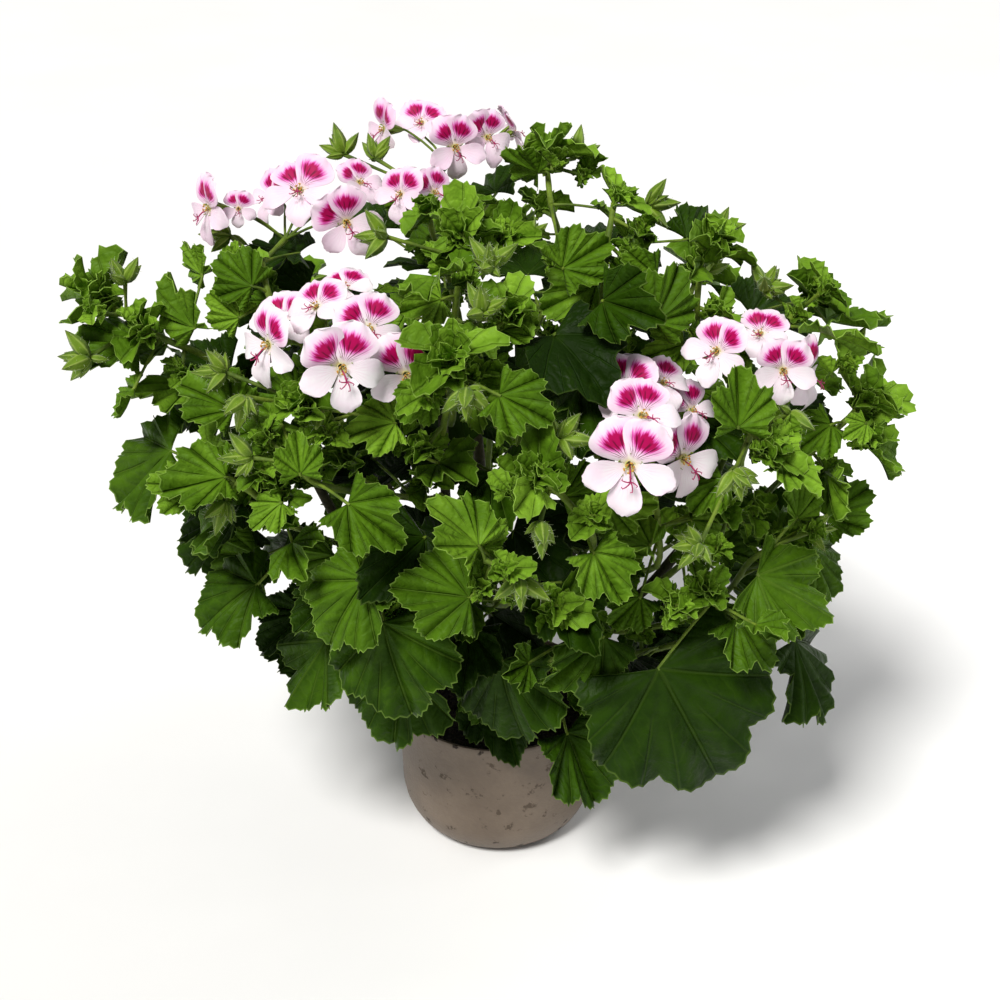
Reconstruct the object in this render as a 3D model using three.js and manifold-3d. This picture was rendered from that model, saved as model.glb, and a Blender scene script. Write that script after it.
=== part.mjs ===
// Angel pelargonium in a round nursery pot, millimetres, +Z up, origin in the middle of the pot's base.
import * as THREE from 'three';
import { mergeVertices } from 'three/addons/utils/BufferGeometryUtils.js';
import Module from 'manifold-3d';

const wasm = await Module();
wasm.setup();

// driving dimensions
const potHeight = 94;
const potRimRadius = 66;
const potBaseRadius = 46;
const potWall = 2.4;
const soilTop = 84;
const crownRadius = 9;
const gap = 0.35;
const woodRadius = 3.4;
const thickBelow = 1.2;
const thinAbove = 0.85;
const shootRadius = 2.1;
const stalkRadius = 1;
const pedicelRadius = 0.75;
const budRadius = 2.3;
const woodSegments = 3;
const roundSides = 22;
const bladeMiddle = 1.5;
const leafDroop = 0.1;
const roomBetween = 0.9;
const simplyCutTo = 26;
const finelyCutFrom = 56;

// the foliage fills an egg-shaped crown round the pot's axis
const canopy = { middle: 262, halfHeight: 178, halfWidth: 232, halfDepth: 190 };
const fillLeaves = 54;
const nearestFill = 6;
const furthestFill = 95;

// crowded pieces slip along the line of sight of somebody who looks down at the plant from the front
const viewer = [1.5, -875, 743];
const slips = [0, 4, -4, 8, -8, 13, -13, 18, -18, 24, -24, 30, -30];
const nudges = [
  [0, 0, 0], [5, 0, 0], [-5, 0, 0], [0, 0, 5], [0, 0, -5], [9, 0, 5], [-9, 0, 5], [9, 0, -5], [-9, 0, -5],
];
const turns = [0, 15, -15, 30, -30];

// woody branches, from the crown in the soil outwards
const branches = [
  [[-4, 0, 88], [-22, 4, 150], [-31, -5, 230], [-32, -20, 305]],
  [[4, 1, 88], [26, 5, 150], [50, -5, 225], [78, -12, 315]],
  [[5, -3, 88], [46, -15, 135], [92, -20, 185], [132, -18, 245]],
  [[-5, -3, 88], [-48, -15, 140], [-90, -15, 215], [-120, -15, 285]],
  [[0, 4, 88], [-4, 38, 150], [-12, 62, 235], [-14, 72, 315]],
  [[4, 4, 88], [40, 48, 145], [72, 78, 215], [92, 96, 270]],
  [[-4, 4, 88], [-44, 46, 150], [-80, 58, 235], [-96, 52, 300]],
];

// A shoot grows from a branch and follows its route.
// tufts of young leaves: x, y, z, size
// buds: x, y, z, the way they point, how many
// leaves: where the stalk meets the blade, the tip of the blade, and a turn about the midrib
const shoots = [
  {
    name: 'left_far', branch: 3, along: 0.95,
    route: [[-148, -23, 334], [-180, -43, 362], [-201, -33, 372], [-220, -21, 377]],
    tufts: [[-226, -14, 377, 27]],
    buds: [[-210, -15, 388, 'up', 2], [-220, -38, 347, 'left', 5]],
    leaves: [
      [-199, -44, 363, -238, -34, 367],
      [-205, -44, 336, -220, -40, 319],
      [-166, -48, 375, -184, -42, 402],
      [-166, -14, 392, -179, -4, 407],
    ],
  },
  {
    name: 'left_low', branch: 3, along: 0.7,
    route: [[-110, -55, 246], [-128, -107, 300], [-141, -107, 311]],
    tufts: [[-143, -109, 312, 24], [-121, -118, 299, 17]],
    buds: [[-147, -112, 302, 'down', 2]],
    leaves: [
      [-183, -65, 307, -224, -57, 271],
      [-141, -85, 287, -176, -79, 252],
      [-146, -106, 313, -182, -110, 310],
      [-152, -98, 318, -155, -94, 345],
      [-114, -126, 309, -131, -134, 299],
      [-140, -73, 223, -182, -73, 197],
      [-139, -58, 233, -162, -54, 197],
    ],
  },
  {
    name: 'left_mid', branch: 0, along: 0.75,
    route: [[-85, -80, 291], [-98, -119, 318], [-106, -124, 332]],
    tufts: [[-108, -125, 333, 20], [-125, -114, 322, 15]],
    buds: [[-130, -113, 329, 'left', 2]],
    leaves: [
      [-103, -128, 327, -105, -120, 348],
      [-77, -146, 320, -49, -160, 303],
      [-63, -123, 231, -53, -139, 170],
      [-114, -104, 344, -139, -102, 339],
    ],
  },
  {
    name: 'head_c_shoot', branch: 0, along: 0.95,
    route: [[-86, -63, 313], [-96, -89, 346]],
    tufts: [[-103, -107, 359, 22]],
    buds: [[-144, -90, 368, 'left', 4], [-132, -103, 360, 'down', 3], [-92, -123, 364, 'down', 4]],
    leaves: [
      [-147, -60, 330, -176, -50, 346],
      [-53, -116, 351, -79, -124, 349],
    ],
  },
  {
    name: 'head_b_shoot', branch: 6, along: 0.95,
    route: [[-115, -4, 341], [-126, -33, 385], [-132, -14, 400]],
    tufts: [],
    buds: [[-155, -5, 412, 'left', 4]],
    leaves: [
      [-135, -35, 394, -157, -25, 408],
      [-140, -55, 384, -158, -49, 397],
    ],
  },
  {
    name: 'centre_top', branch: 0, along: 1,
    route: [[-25, -40, 364], [-21, -50, 401], [-18, -29, 419]],
    tufts: [[-19, -21, 423, 26], [-39, -5, 425, 18], [2, -20, 418, 20]],
    buds: [[-4, -53, 413, 'up', 4], [-56, -27, 420, 'left', 4]],
    leaves: [
      [-22, -42, 411, -40, -42, 421],
      [-30, -53, 394, -51, -65, 393],
    ],
  },
  {
    name: 'head_a_shoot', branch: 4, along: 1,
    route: [[-27, 73, 347], [-39, 39, 399], [-41, 43, 422]],
    tufts: [],
    buds: [[-92, 78, 432, 'up', 3], [-73, 74, 431, 'up', 2]],
    leaves: [
      [-25, 34, 410, -4, 42, 422],
    ],
  },
  {
    name: 'top_right', branch: 4, along: 0.85,
    route: [[38, 63, 358], [32, 38, 409], [29, 55, 433]],
    tufts: [[27, 73, 438, 26], [53, 57, 431, 17]],
    buds: [[37, 71, 437, 'up', 2]],
    leaves: [
      [24, 48, 431, 3, 56, 441],
      [36, -29, 402, 63, -19, 416],
    ],
  },
  {
    name: 'top_right_tall', branch: 1, along: 0.85,
    route: [[58, -35, 362], [60, -17, 397], [66, 12, 424]],
    tufts: [[67, 24, 430, 18], [74, -32, 410, 18]],
    buds: [[85, 15, 423, 'right', 3]],
    leaves: [
      [88, -33, 399, 60, -41, 398],
      [55, -28, 392, 24, -36, 380],
    ],
  },
  {
    name: 'right_upper', branch: 1, along: 1,
    route: [[109, -35, 349], [110, -38, 384], [114, -24, 408]],
    tufts: [[117, -7, 409, 25]],
    buds: [[126, 15, 407, 'up', 2]],
    leaves: [
      [85, -63, 385, 101, -49, 412],
      [110, -65, 378, 87, -75, 374],
    ],
  },
  {
    name: 'right_far_upper', branch: 2, along: 1,
    route: [[145, -35, 324], [156, -46, 370], [175, -17, 378]],
    tufts: [[180, -11, 382, 21]],
    buds: [[148, -31, 391, 'up', 5]],
    leaves: [
      [185, -29, 370, 222, -23, 368],
      [151, -48, 364, 136, -38, 381],
    ],
  },
  {
    name: 'right_far', branch: 2, along: 0.85,
    route: [[173, -31, 276], [195, -44, 311], [209, -35, 321]],
    tufts: [[213, -30, 324, 27], [198, -34, 346, 17]],
    buds: [[200, -31, 352, 'up', 2]],
    leaves: [
      [208, -38, 301, 240, -32, 278],
      [190, -48, 315, 169, -58, 304],
      [214, -31, 307, 201, -39, 303],
    ],
  },
  {
    name: 'right_mid', branch: 2, along: 0.7,
    route: [[133, -55, 256], [132, -98, 322], [136, -102, 338]],
    tufts: [[139, -101, 339, 23], [123, -110, 273, 14]],
    buds: [[124, -127, 329, 'down', 5], [109, -126, 283, 'left', 5], [158, -86, 342, 'down', 3]],
    leaves: [
      [128, -104, 342, 129, -92, 372],
      [122, -103, 311, 104, -111, 295],
    ],
  },
  {
    name: 'head_d_shoot', branch: 1, along: 0.6,
    route: [[89, -75, 231], [88, -102, 287]],
    tufts: [],
    buds: [],
    leaves: [
      [79, -121, 246, 63, -127, 229],
      [85, -103, 268, 57, -95, 280],
      [107, -97, 281, 124, -103, 259],
    ],
  },
  {
    name: 'right_low', branch: 2, along: 0.5,
    route: [[127, -45, 186], [143, -78, 240], [155, -87, 257]],
    tufts: [[152, -94, 261, 26], [178, -63, 239, 17]],
    buds: [[171, -80, 265, 'right', 4], [157, -92, 257, 'down', 3]],
    leaves: [
      [170, -75, 269, 172, -65, 296],
      [194, -43, 252, 222, -33, 266],
      [173, -45, 243, 137, -33, 257],
      [189, -38, 228, 208, -38, 191],
      [149, -85, 237, 190, -89, 210, 180],
      [180, -56, 172, 210, -60, 117],
    ],
  },
  {
    name: 'right_front_low', branch: 2, along: 0.35,
    route: [[116, -67, 179], [128, -102, 223], [113, -117, 244]],
    tufts: [[109, -122, 250, 21]],
    buds: [],
    leaves: [
      [135, -105, 221, 160, -117, 197],
      [98, -106, 187, 140, -118, 108],
    ],
  },
  {
    name: 'front_centre_right', branch: 1, along: 0.45,
    route: [[58, -86, 248], [36, -137, 317], [22, -149, 336]],
    tufts: [[16, -152, 341, 25], [8, -157, 333, 14]],
    buds: [[22, -159, 317, 'down', 3], [32, -140, 355, 'right', 4], [13, -137, 361, 'left', 2]],
    leaves: [
      [33, -146, 324, 49, -136, 339],
      [50, -150, 293, 67, -164, 271],
    ],
  },
  {
    name: 'front_centre', branch: 0, along: 0.46,
    route: [[7, -85, 213], [2, -142, 278], [-6, -150, 288]],
    tufts: [[-9, -152, 282, 18], [32, -141, 255, 20]],
    buds: [[12, -155, 280, 'down', 5]],
    leaves: [
      [-15, -143, 260, -55, -149, 271],
      [-9, -154, 299, -33, -146, 324],
      [-8, -157, 300, -7, -151, 323],
    ],
  },
  {
    name: 'centre', branch: 0, along: 0.85,
    route: [[-31, -83, 324], [-24, -113, 366], [-22, -112, 384]],
    tufts: [[-22, -105, 389, 26], [7, -75, 397, 20]],
    buds: [[-15, -130, 378, 'down', 4], [-8, -84, 399, 'up', 4]],
    leaves: [
      [0, -125, 355, 21, -121, 359],
      [-35, -116, 370, -51, -124, 357],
      [2, -80, 388, 23, -76, 391],
    ],
  },
  {
    name: 'low_left', branch: 3, along: 0.35,
    route: [[-57, -78, 216], [-59, -100, 249]],
    tufts: [],
    buds: [],
    leaves: [
      [-55, -86, 178, -67, -94, 119],
      [-102, -72, 183, -122, -76, 137, 180],
      [-73, -113, 252, -101, -121, 214],
      [-92, -96, 257, -107, -100, 222],
    ],
  },
  {
    name: 'low_right', branch: 2, along: 0.2,
    route: [[37, -75, 178], [43, -96, 200]],
    tufts: [],
    buds: [],
    leaves: [
      [59, -126, 223, 27, -140, 195],
      [42, -87, 125, 65, -99, 78],
      [2, -98, 186, 8, -104, 124],
      [-8, -66, 141, -12, -70, 116],
    ],
  },
  {
    name: 'back_left', branch: 6, along: 0.55,
    route: [[-96, 95, 228], [-128, 132, 268], [-138, 146, 312]],
    tufts: [[-140, 150, 320, 26], [-150, 120, 290, 20]],
    buds: [[-128, 158, 318, 'up', 4]],
    leaves: [],
  },
  {
    name: 'back_middle', branch: 4, along: 0.5,
    route: [[-6, 112, 226], [4, 150, 290], [8, 158, 350]],
    tufts: [[8, 162, 358, 27], [-24, 152, 350, 20]],
    buds: [[22, 168, 350, 'up', 4], [-10, 172, 330, 'down', 3]],
    leaves: [],
  },
  {
    name: 'back_right', branch: 5, along: 1,
    route: [[118, 118, 300], [130, 128, 330]],
    tufts: [[134, 130, 336, 25], [112, 146, 312, 20]],
    buds: [[140, 118, 340, 'up', 4]],
    leaves: [],
  },
];

// A head of flowers: its stalk grows from a shoot and parts at the centre.
// flowers: x, y, z of the throat, the way it faces as degrees round and degrees up, spin, radius
const heads = [
  {
    name: 'a', shoot: 'head_a_shoot', centre: [-31, 89, 422],
    flowers: [
      [-69, 97, 442, -65, 10, 0, 19],
      [-47, 112, 441, -25, 55, 0, 18],
      [-25, 70, 439, -8, 18, 0, 20],
      [-6, 89, 439, 50, 25, 0, 18],
      [9, 116, 435, 95, 20, 0, 17],
    ],
  },
  {
    name: 'a2', shoot: 'head_a_shoot', centre: [-45, 34, 410],
    flowers: [
      [-55, 19, 428, -25, 35, 0, 17],
      [-36, 25, 427, 20, 35, 0, 16],
    ],
  },
  {
    name: 'b', shoot: 'head_b_shoot', centre: [-123, 21, 400],
    flowers: [
      [-164, 13, 422, -55, 15, 10, 21],
      [-147, 12, 422, 5, 25, 0, 11],
      [-114, 29, 427, -5, 55, 0, 23],
      [-131, 33, 422, -45, 40, 0, 17],
      [-83, -18, 425, 8, 12, 25, 21],
      [-81, 51, 424, 45, 45, 0, 16],
    ],
  },
  {
    name: 'c', shoot: 'head_c_shoot', centre: [-90, -87, 367],
    flowers: [
      [-121, -85, 382, -45, 12, 0, 23],
      [-115, -66, 387, -20, 48, 0, 19],
      [-98, -54, 390, 0, 58, 0, 19],
      [-68, -81, 389, 8, 42, 0, 21],
      [-79, -122, 386, -12, 15, 0, 24],
      [-55, -123, 387, 20, 10, 0, 23],
      [-84, -32, 392, 5, 72, 0, 17],
    ],
  },
  {
    name: 'd', shoot: 'head_d_shoot', centre: [82, -104, 330],
    flowers: [
      [67, -154, 347, -5, 15, 0, 26],
      [75, -121, 353, 2, 52, 0, 22],
      [96, -136, 341, 40, 12, 0, 24],
      [67, -98, 363, -35, 50, 0, 21],
      [90, -76, 355, 25, 62, 0, 17],
      [99, -95, 348, 62, 40, 0, 17],
    ],
  },
  {
    name: 'e', shoot: 'right_far_upper', centre: [154, -46, 336],
    flowers: [
      [117, -81, 376, -35, 42, 0, 20],
      [146, -43, 369, 5, 62, 0, 18],
      [155, -73, 361, -12, 22, 0, 19],
      [169, -67, 356, 32, 15, 0, 22],
    ],
  },
];

// vectors as plain lists of three numbers
const plus = (a, b, k = 1) => [a[0] + b[0] * k, a[1] + b[1] * k, a[2] + b[2] * k];
const dot = (a, b) => a[0] * b[0] + a[1] * b[1] + a[2] * b[2];
const cross = (a, b) => [a[1] * b[2] - a[2] * b[1], a[2] * b[0] - a[0] * b[2], a[0] * b[1] - a[1] * b[0]];
const size = (a) => Math.sqrt(dot(a, a));
const unit = (a) => plus([0, 0, 0], a, 1 / size(a));
const between = (a, b, t) => plus(a, plus(b, a, -1), t);
const distance = (a, b) => size(plus(a, b, -1));
const radians = (degrees) => degrees * Math.PI / 180;
const square = (a, axis) => unit(plus(a, axis, -dot(a, axis)));
const turned = (a, axis, degrees) => plus(
  plus([0, 0, 0], a, Math.cos(radians(degrees))), cross(axis, a), Math.sin(radians(degrees)));

// the same draws every time
let seed = 20;
function draw(low, high) {
  seed = (seed * 1664525 + 1013904223) % 4294967296;
  return low + (high - low) * seed / 4294967296;
}

const outward = (point) => unit([point[0], point[1] - 8, 0]);
const sightLine = (point) => unit(plus(point, viewer, -1));

// Room is kept with plain stand-ins: a disc for each blade or flower, a rod for each stretch of stem.
function disc(node, centre, normal, radius, half) {
  const across = square(Math.abs(normal[2]) < 0.9 ? [0, 0, 1] : [1, 0, 0], normal);
  const along = cross(normal, across);
  const points = [centre];
  for (let i = 0; i < 32; i += 1) {
    const reach = i % 2 ? radius : radius * (i % 4 ? 1 : 0.6);
    const angle = radians(i * 11.25);
    points.push(plus(plus(centre, across, reach * Math.cos(angle)), along, reach * Math.sin(angle)));
  }
  return { node, centre, normal, radius, half, points, reach: radius + half };
}

function rod(node, from, to, half) {
  const length = distance(from, to);
  const count = Math.max(2, Math.ceil(length / 4));
  const points = [];
  for (let i = 0; i <= count; i += 1) points.push(between(from, to, i / count));
  return { node, from, to, half, points, centre: between(from, to, 0.5), reach: length / 2 + half };
}

function distanceTo(point, shape) {
  if (shape.normal) {
    const off = plus(point, shape.centre, -1);
    const height = dot(off, shape.normal);
    const aside = Math.sqrt(Math.max(0, dot(off, off) - height * height)) - shape.radius;
    return aside <= 0 ? Math.abs(height) : Math.sqrt(height * height + aside * aside);
  }
  const line = plus(shape.to, shape.from, -1);
  const t = Math.min(1, Math.max(0, dot(plus(point, shape.from, -1), line) / dot(line, line)));
  return distance(point, plus(shape.from, line, t));
}

function meets(a, b) {
  const room = a.half + b.half + roomBetween;
  if (distance(a.centre, b.centre) > a.reach + b.reach + roomBetween) return false;
  return a.points.some((point) => distanceTo(point, b) < room)
    || b.points.some((point) => distanceTo(point, a) < room);
}

function meetsPot(shape) {
  return shape.points.some((point) => {
    const radius = Math.hypot(point[0], point[1]);
    const overSoil = radius < potRimRadius - 9 && point[2] > soilTop + 8;
    return (radius < potRimRadius + 4 && point[2] < potHeight + 3 && !overSoil) || point[2] < 6;
  });
}

// Within one node stems may join each other, but a blade keeps clear of all but its own tuft.
const taken = [];
const mayTouch = (a, b) => a.node === b.node && ((!a.normal && !b.normal) || (a.tuft && a.tuft === b.tuft));
function isClear(shape) {
  return !meetsPot(shape) && taken.every((other) => mayTouch(other, shape) || !meets(shape, other));
}

// The first small move and turn that stands clear of all that is there already.
function settle(place, make) {
  const sight = sightLine(place);
  for (const nudge of nudges) {
    for (const slip of slips) {
      for (const turn of turns) {
        const made = make(plus(nudge, sight, slip), turn);
        if (made.shapes.every(isClear)) {
          taken.push(...made.shapes);
          return made;
        }
      }
    }
  }
  return null;
}

const curveOf = (points) => new THREE.CatmullRomCurve3(points.map((point) => new THREE.Vector3(...point)));
function pathPoints(points, count) {
  return curveOf(points).getPoints(count).map((point) => [point.x, point.y, point.z]);
}
function rodsAlong(node, points, half) {
  return points.slice(1).map((point, i) => rod(node, points[i], point, half));
}
function nearestOf(points, place) {
  return points.reduce((best, point) => (distance(point, place) < distance(best, place) ? point : best));
}

// solids
function solidOf(geometry) {
  geometry.deleteAttribute('normal');
  geometry.deleteAttribute('uv');
  const merged = mergeVertices(geometry, 1e-4);
  return new wasm.Manifold(new wasm.Mesh({
    numProp: 3,
    vertProperties: new Float32Array(merged.attributes.position.array),
    triVerts: new Uint32Array(merged.index.array),
  }));
}
function geometryOf(solid) {
  const mesh = solid.getMesh();
  const geometry = new THREE.BufferGeometry();
  geometry.setAttribute('position', new THREE.BufferAttribute(mesh.vertProperties, 3));
  geometry.setIndex(new THREE.BufferAttribute(mesh.triVerts, 1));
  return geometry;
}
function joined(solids) {
  return solids.reduce((whole, solid) => whole.add(solid));
}

// A solid from a list of corner points and the triangles between them.
function facetSolid(points, index) {
  const geometry = new THREE.BufferGeometry();
  geometry.setAttribute('position', new THREE.Float32BufferAttribute(points.flat(), 3));
  geometry.setIndex(index);
  return solidOf(geometry);
}
function skin(index, ring, next) {
  ring.forEach((corner, i) => {
    const j = (i + 1) % ring.length;
    index.push(corner, ring[j], next[j], corner, next[j], next[i]);
  });
}

// A limb with a few flat sides: its rings stand across a curve through the points, each with its own radius.
function limb(line, radii, sides, segments) {
  const path = curveOf(line.length > 2 ? line : [line[0], between(line[0], line[1], 0.5), line[1]]);
  const points = [];
  const rings = [];
  let across = [0, 0.1, 1];
  for (let i = 0; i <= segments; i += 1) {
    const at = path.getPoint(i / segments).toArray();
    const way = path.getTangent(i / segments).toArray();
    across = square(Math.abs(dot(across, way)) > 0.99 ? [1, 0, 0] : across, way);
    const share = i / segments * (radii.length - 1);
    const low = Math.min(Math.floor(share), radii.length - 2);
    const radius = radii[low] + (radii[low + 1] - radii[low]) * (share - low);
    rings.push(Array.from({ length: sides }, (_, k) => {
      points.push(plus(at, turned(across, way, 360 * k / sides), radius));
      return points.length - 1;
    }));
  }
  const index = [];
  rings.slice(1).forEach((ring, i) => skin(index, rings[i], ring));
  const [first, last] = [rings[0], rings[segments]];
  for (let k = 2; k < sides; k += 1) {
    index.push(first[0], first[k], first[k - 1], last[0], last[k - 1], last[k]);
  }
  return facetSolid(points, index);
}

// A body that is thickest a third of the way along and ends in a point at both ends.
function spindle(from, way, length, radius, sides) {
  const side = square(Math.abs(way[2]) < 0.9 ? [0, 0, 1] : [1, 0, 0], way);
  const points = [from, plus(from, way, length)];
  const index = [];
  for (let k = 0; k < sides; k += 1) {
    points.push(plus(plus(from, way, length / 3), turned(side, way, 360 * k / sides), radius));
    const next = 2 + (k + 1) % sides;
    index.push(0, next, k + 2, 1, k + 2, next);
  }
  return facetSolid(points, index);
}

// The end of a thin stalk with three sides, as a ring of corners round a point.
function stalkRing(point, across, way, half) {
  const up = cross(across, way);
  return [[1, 0.5], [-1, 0.5], [0, -1]].map(([x, z]) => plus(plus(point, across, x * half), up, z * half));
}

// A thin blade: top and bottom share the rim, and are split into triangles alike. It ends in a point at its
// foot, or in a straight stalk that leads back to its root.
// outline: points [across, along], counter-clockwise from above; height: the surface over the outline
function blade(outline, middle, height, half, frame, root = null, stalkHalf = 0) {
  const points = [];
  const index = [];
  const put = (point) => points.push(point) - 1;
  const at = (x, y, z) => plus(plus(plus(frame.origin, frame.across, x), frame.along, y), frame.normal, z);
  const rim = outline.map(([x, y]) => put(at(x, y, height(x, y))));
  const above = put(at(0, middle, height(0, middle) + half));
  const below = put(at(0, middle, height(0, middle) - half));
  const rows = [];
  if (root) {
    const way = unit(plus(unit(plus(frame.origin, root, -1)), frame.along, 0.8));
    const across = square(frame.across, way);
    rows.push(...[frame.origin, root].map((point) => stalkRing(point, across, way, stalkHalf).map(put)));
    const [right, left, lower] = rows[0];
    index.push(above, left, right, below, right, lower, below, lower, left, ...rows[1]);
    skin(index, ...rows);
  } else {
    rows.push([put(at(0, 0, height(0, 0)))]);
  }
  const border = [rows[0][0], ...rim, rows[0][root ? 1 : 0]];
  border.slice(1).forEach((corner, i) => index.push(above, border[i], corner, below, corner, border[i]));
  return facetSolid(points, index);
}

// Blades that spread round one point, on a stalk: corners in turn round the axis, all joined to the point on
// top and to the stalk beneath. The stalk leads back to its root.
function rosette(frame, corners, height, root, stalkHalf) {
  const points = [plus(frame.origin, frame.normal, height)];
  const index = [];
  const put = (point) => points.push(point) - 1;
  const rim = corners.map((corner) => put(corner));
  const way = unit(plus(unit(plus(frame.origin, root, -1)), frame.normal, 0.8));
  const across = square(frame.across, way);
  const rows = [frame.origin, root].map((point) => stalkRing(point, across, way, stalkHalf).map(put));
  const facing = (corner) => dot(unit(plus(corner, frame.origin, -1)), across);
  const first = corners.reduce((best, corner, i) => (facing(corner) > facing(corners[best]) ? i : best), 0);
  const third = corners.length / 3;
  const footOf = (i) => rows[0][[0, 2, 1][Math.floor(((i - first + 3.5 * third) % corners.length) / third)]];
  corners.forEach((corner, i) => {
    const next = (i + 1) % rim.length;
    const [here, there] = [footOf(i), footOf(next)];
    index.push(0, rim[i], rim[next], rim[next], rim[i], here);
    if (here !== there) index.push(here, there, rim[next]);
  });
  index.push(...rows[1]);
  skin(index, ...rows);
  return facetSolid(points, index);
}

// The fan-shaped leaf: lobes round the point where the stalk meets the blade, with teeth between.
function leafOutline(length, lobes, pointsPerLobe, spread, wide) {
  const outline = [];
  const count = (lobes - 1) * pointsPerLobe;
  for (let i = 0; i <= count; i += 1) {
    const share = i / count * 2 - 1;
    const angle = radians(share * spread);
    const notch = 1 - Math.cos(2 * Math.PI * i / pointsPerLobe);
    const tooth = pointsPerLobe > 2 && i % 2 ? 0.03 : 0;
    const reach = length * (1 - 0.45 * Math.abs(share) ** 1.7 - 0.075 * notch + tooth);
    outline.push([reach * wide * Math.sin(angle), reach * Math.cos(angle)]);
  }
  return outline.reverse();
}

function leafFrame(base, tip, turn) {
  const along = unit(plus(tip, base, -1));
  const face = plus([0, -0.12, 0.8], outward(base), 0.75);
  const normal = turned(square(face, along), along, turn);
  return { origin: base, along, normal, across: cross(along, normal) };
}

function leafDisc(node, frame, length) {
  const centre = plus(plus(frame.origin, frame.along, length * 0.4), frame.normal, -0.4 * leafDroop * length);
  return disc(node, centre, frame.normal, length * 0.62, 0.05 * length + 0.9);
}

// the pot: nearly straight walls, a broad rounded edge at the bottom
function potSolid() {
  const outside = [
    [0, 0], [potBaseRadius, 0], [53, 3], [60, 12], [64, 26], [65, 60], [potRimRadius, potHeight],
  ];
  const inside = [
    [potRimRadius - potWall, potHeight], [65 - potWall, 60], [64 - potWall, 26.5],
    [57.6, 13], [45, potWall], [0, potWall],
  ];
  const profile = [...outside, ...inside].map(([x, z]) => new THREE.Vector2(x, z));
  return solidOf(new THREE.LatheGeometry(profile, roundSides).rotateX(Math.PI / 2));
}

// potting soil, with a plain round hole for the plant's crown
function soilSolid() {
  const side = potRimRadius - potWall - gap;
  const profile = [
    [0, soilTop - 24], [crownRadius + 0.8, soilTop - 24], [crownRadius + 0.8, soilTop + 1], [30, soilTop + 2],
    [side - 3, soilTop], [65 - potWall - gap, 60], [64 - potWall - gap - 0.2, 27], [57, 13.4],
    [44.7, potWall + gap], [0, potWall + gap],
  ].reverse().map(([x, z]) => new THREE.Vector2(x, z));
  return solidOf(new THREE.LatheGeometry(profile, roundSides).rotateX(Math.PI / 2));
}

function woodSolid() {
  const crown = limb([[0, 0, soilTop - 23.5], [0, 0, soilTop + 13]], [crownRadius, crownRadius - 2], 8, 1);
  const radii = [thickBelow * woodRadius, thinAbove * woodRadius];
  return joined([crown, ...branches.map((points) => limb(points, radii, 5, woodSegments))]);
}

// parts of the shoots and the heads, each a list of solids for its node
const pieces = {};
function give(node, solids) {
  pieces[node] = [...(pieces[node] ?? []), ...solids];
}

function leafSolid(frame, length, root) {
  const spread = 106;
  const wide = 0.86;
  const lobes = length > simplyCutTo ? 5 : 3;
  const outline = leafOutline(length, lobes, length > finelyCutFrom ? 4 : 2, spread, wide);
  const lobeStep = radians(2 * spread / (lobes - 1));
  const height = (x, y) => {
    const angle = Math.atan2(x / wide, y) / lobeStep * 2 * Math.PI;
    const reach = Math.hypot(x, y) / length;
    const pleat = -0.022 * Math.cos(angle) * reach;
    return length * (pleat - leafDroop * reach * reach);
  };
  return blade(outline, 0.32 * length, height, bladeMiddle / 2, frame, root, stalkRadius);
}

// A leaf on its stalk, from the nearest point of the shoot's stem.
function growLeaf(node, route, base, tip, turn) {
  const length = distance(base, tip);
  const made = settle(base, (shift, extra) => {
    const origin = plus(base, shift);
    const frame = leafFrame(origin, plus(tip, shift), turn + extra);
    const root = nearestOf(route, origin);
    return { frame, root, shapes: [leafDisc(node, frame, length), rod(node, root, origin, stalkRadius)] };
  });
  if (!made) return;
  give(node, [leafSolid(made.frame, length, made.root)]);
}

// the edge of a young leaf: the turn from its midrib as a share of the leaf's part of the round, then how far
// out and how far up as shares of its length
const tuftLeafEdge = [[-0.8, 0.74, 0.08], [-0.42, 0.8, 0], [0, 1, 0.05], [0.42, 0.8, 0], [0.8, 0.74, 0.08]];

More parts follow.
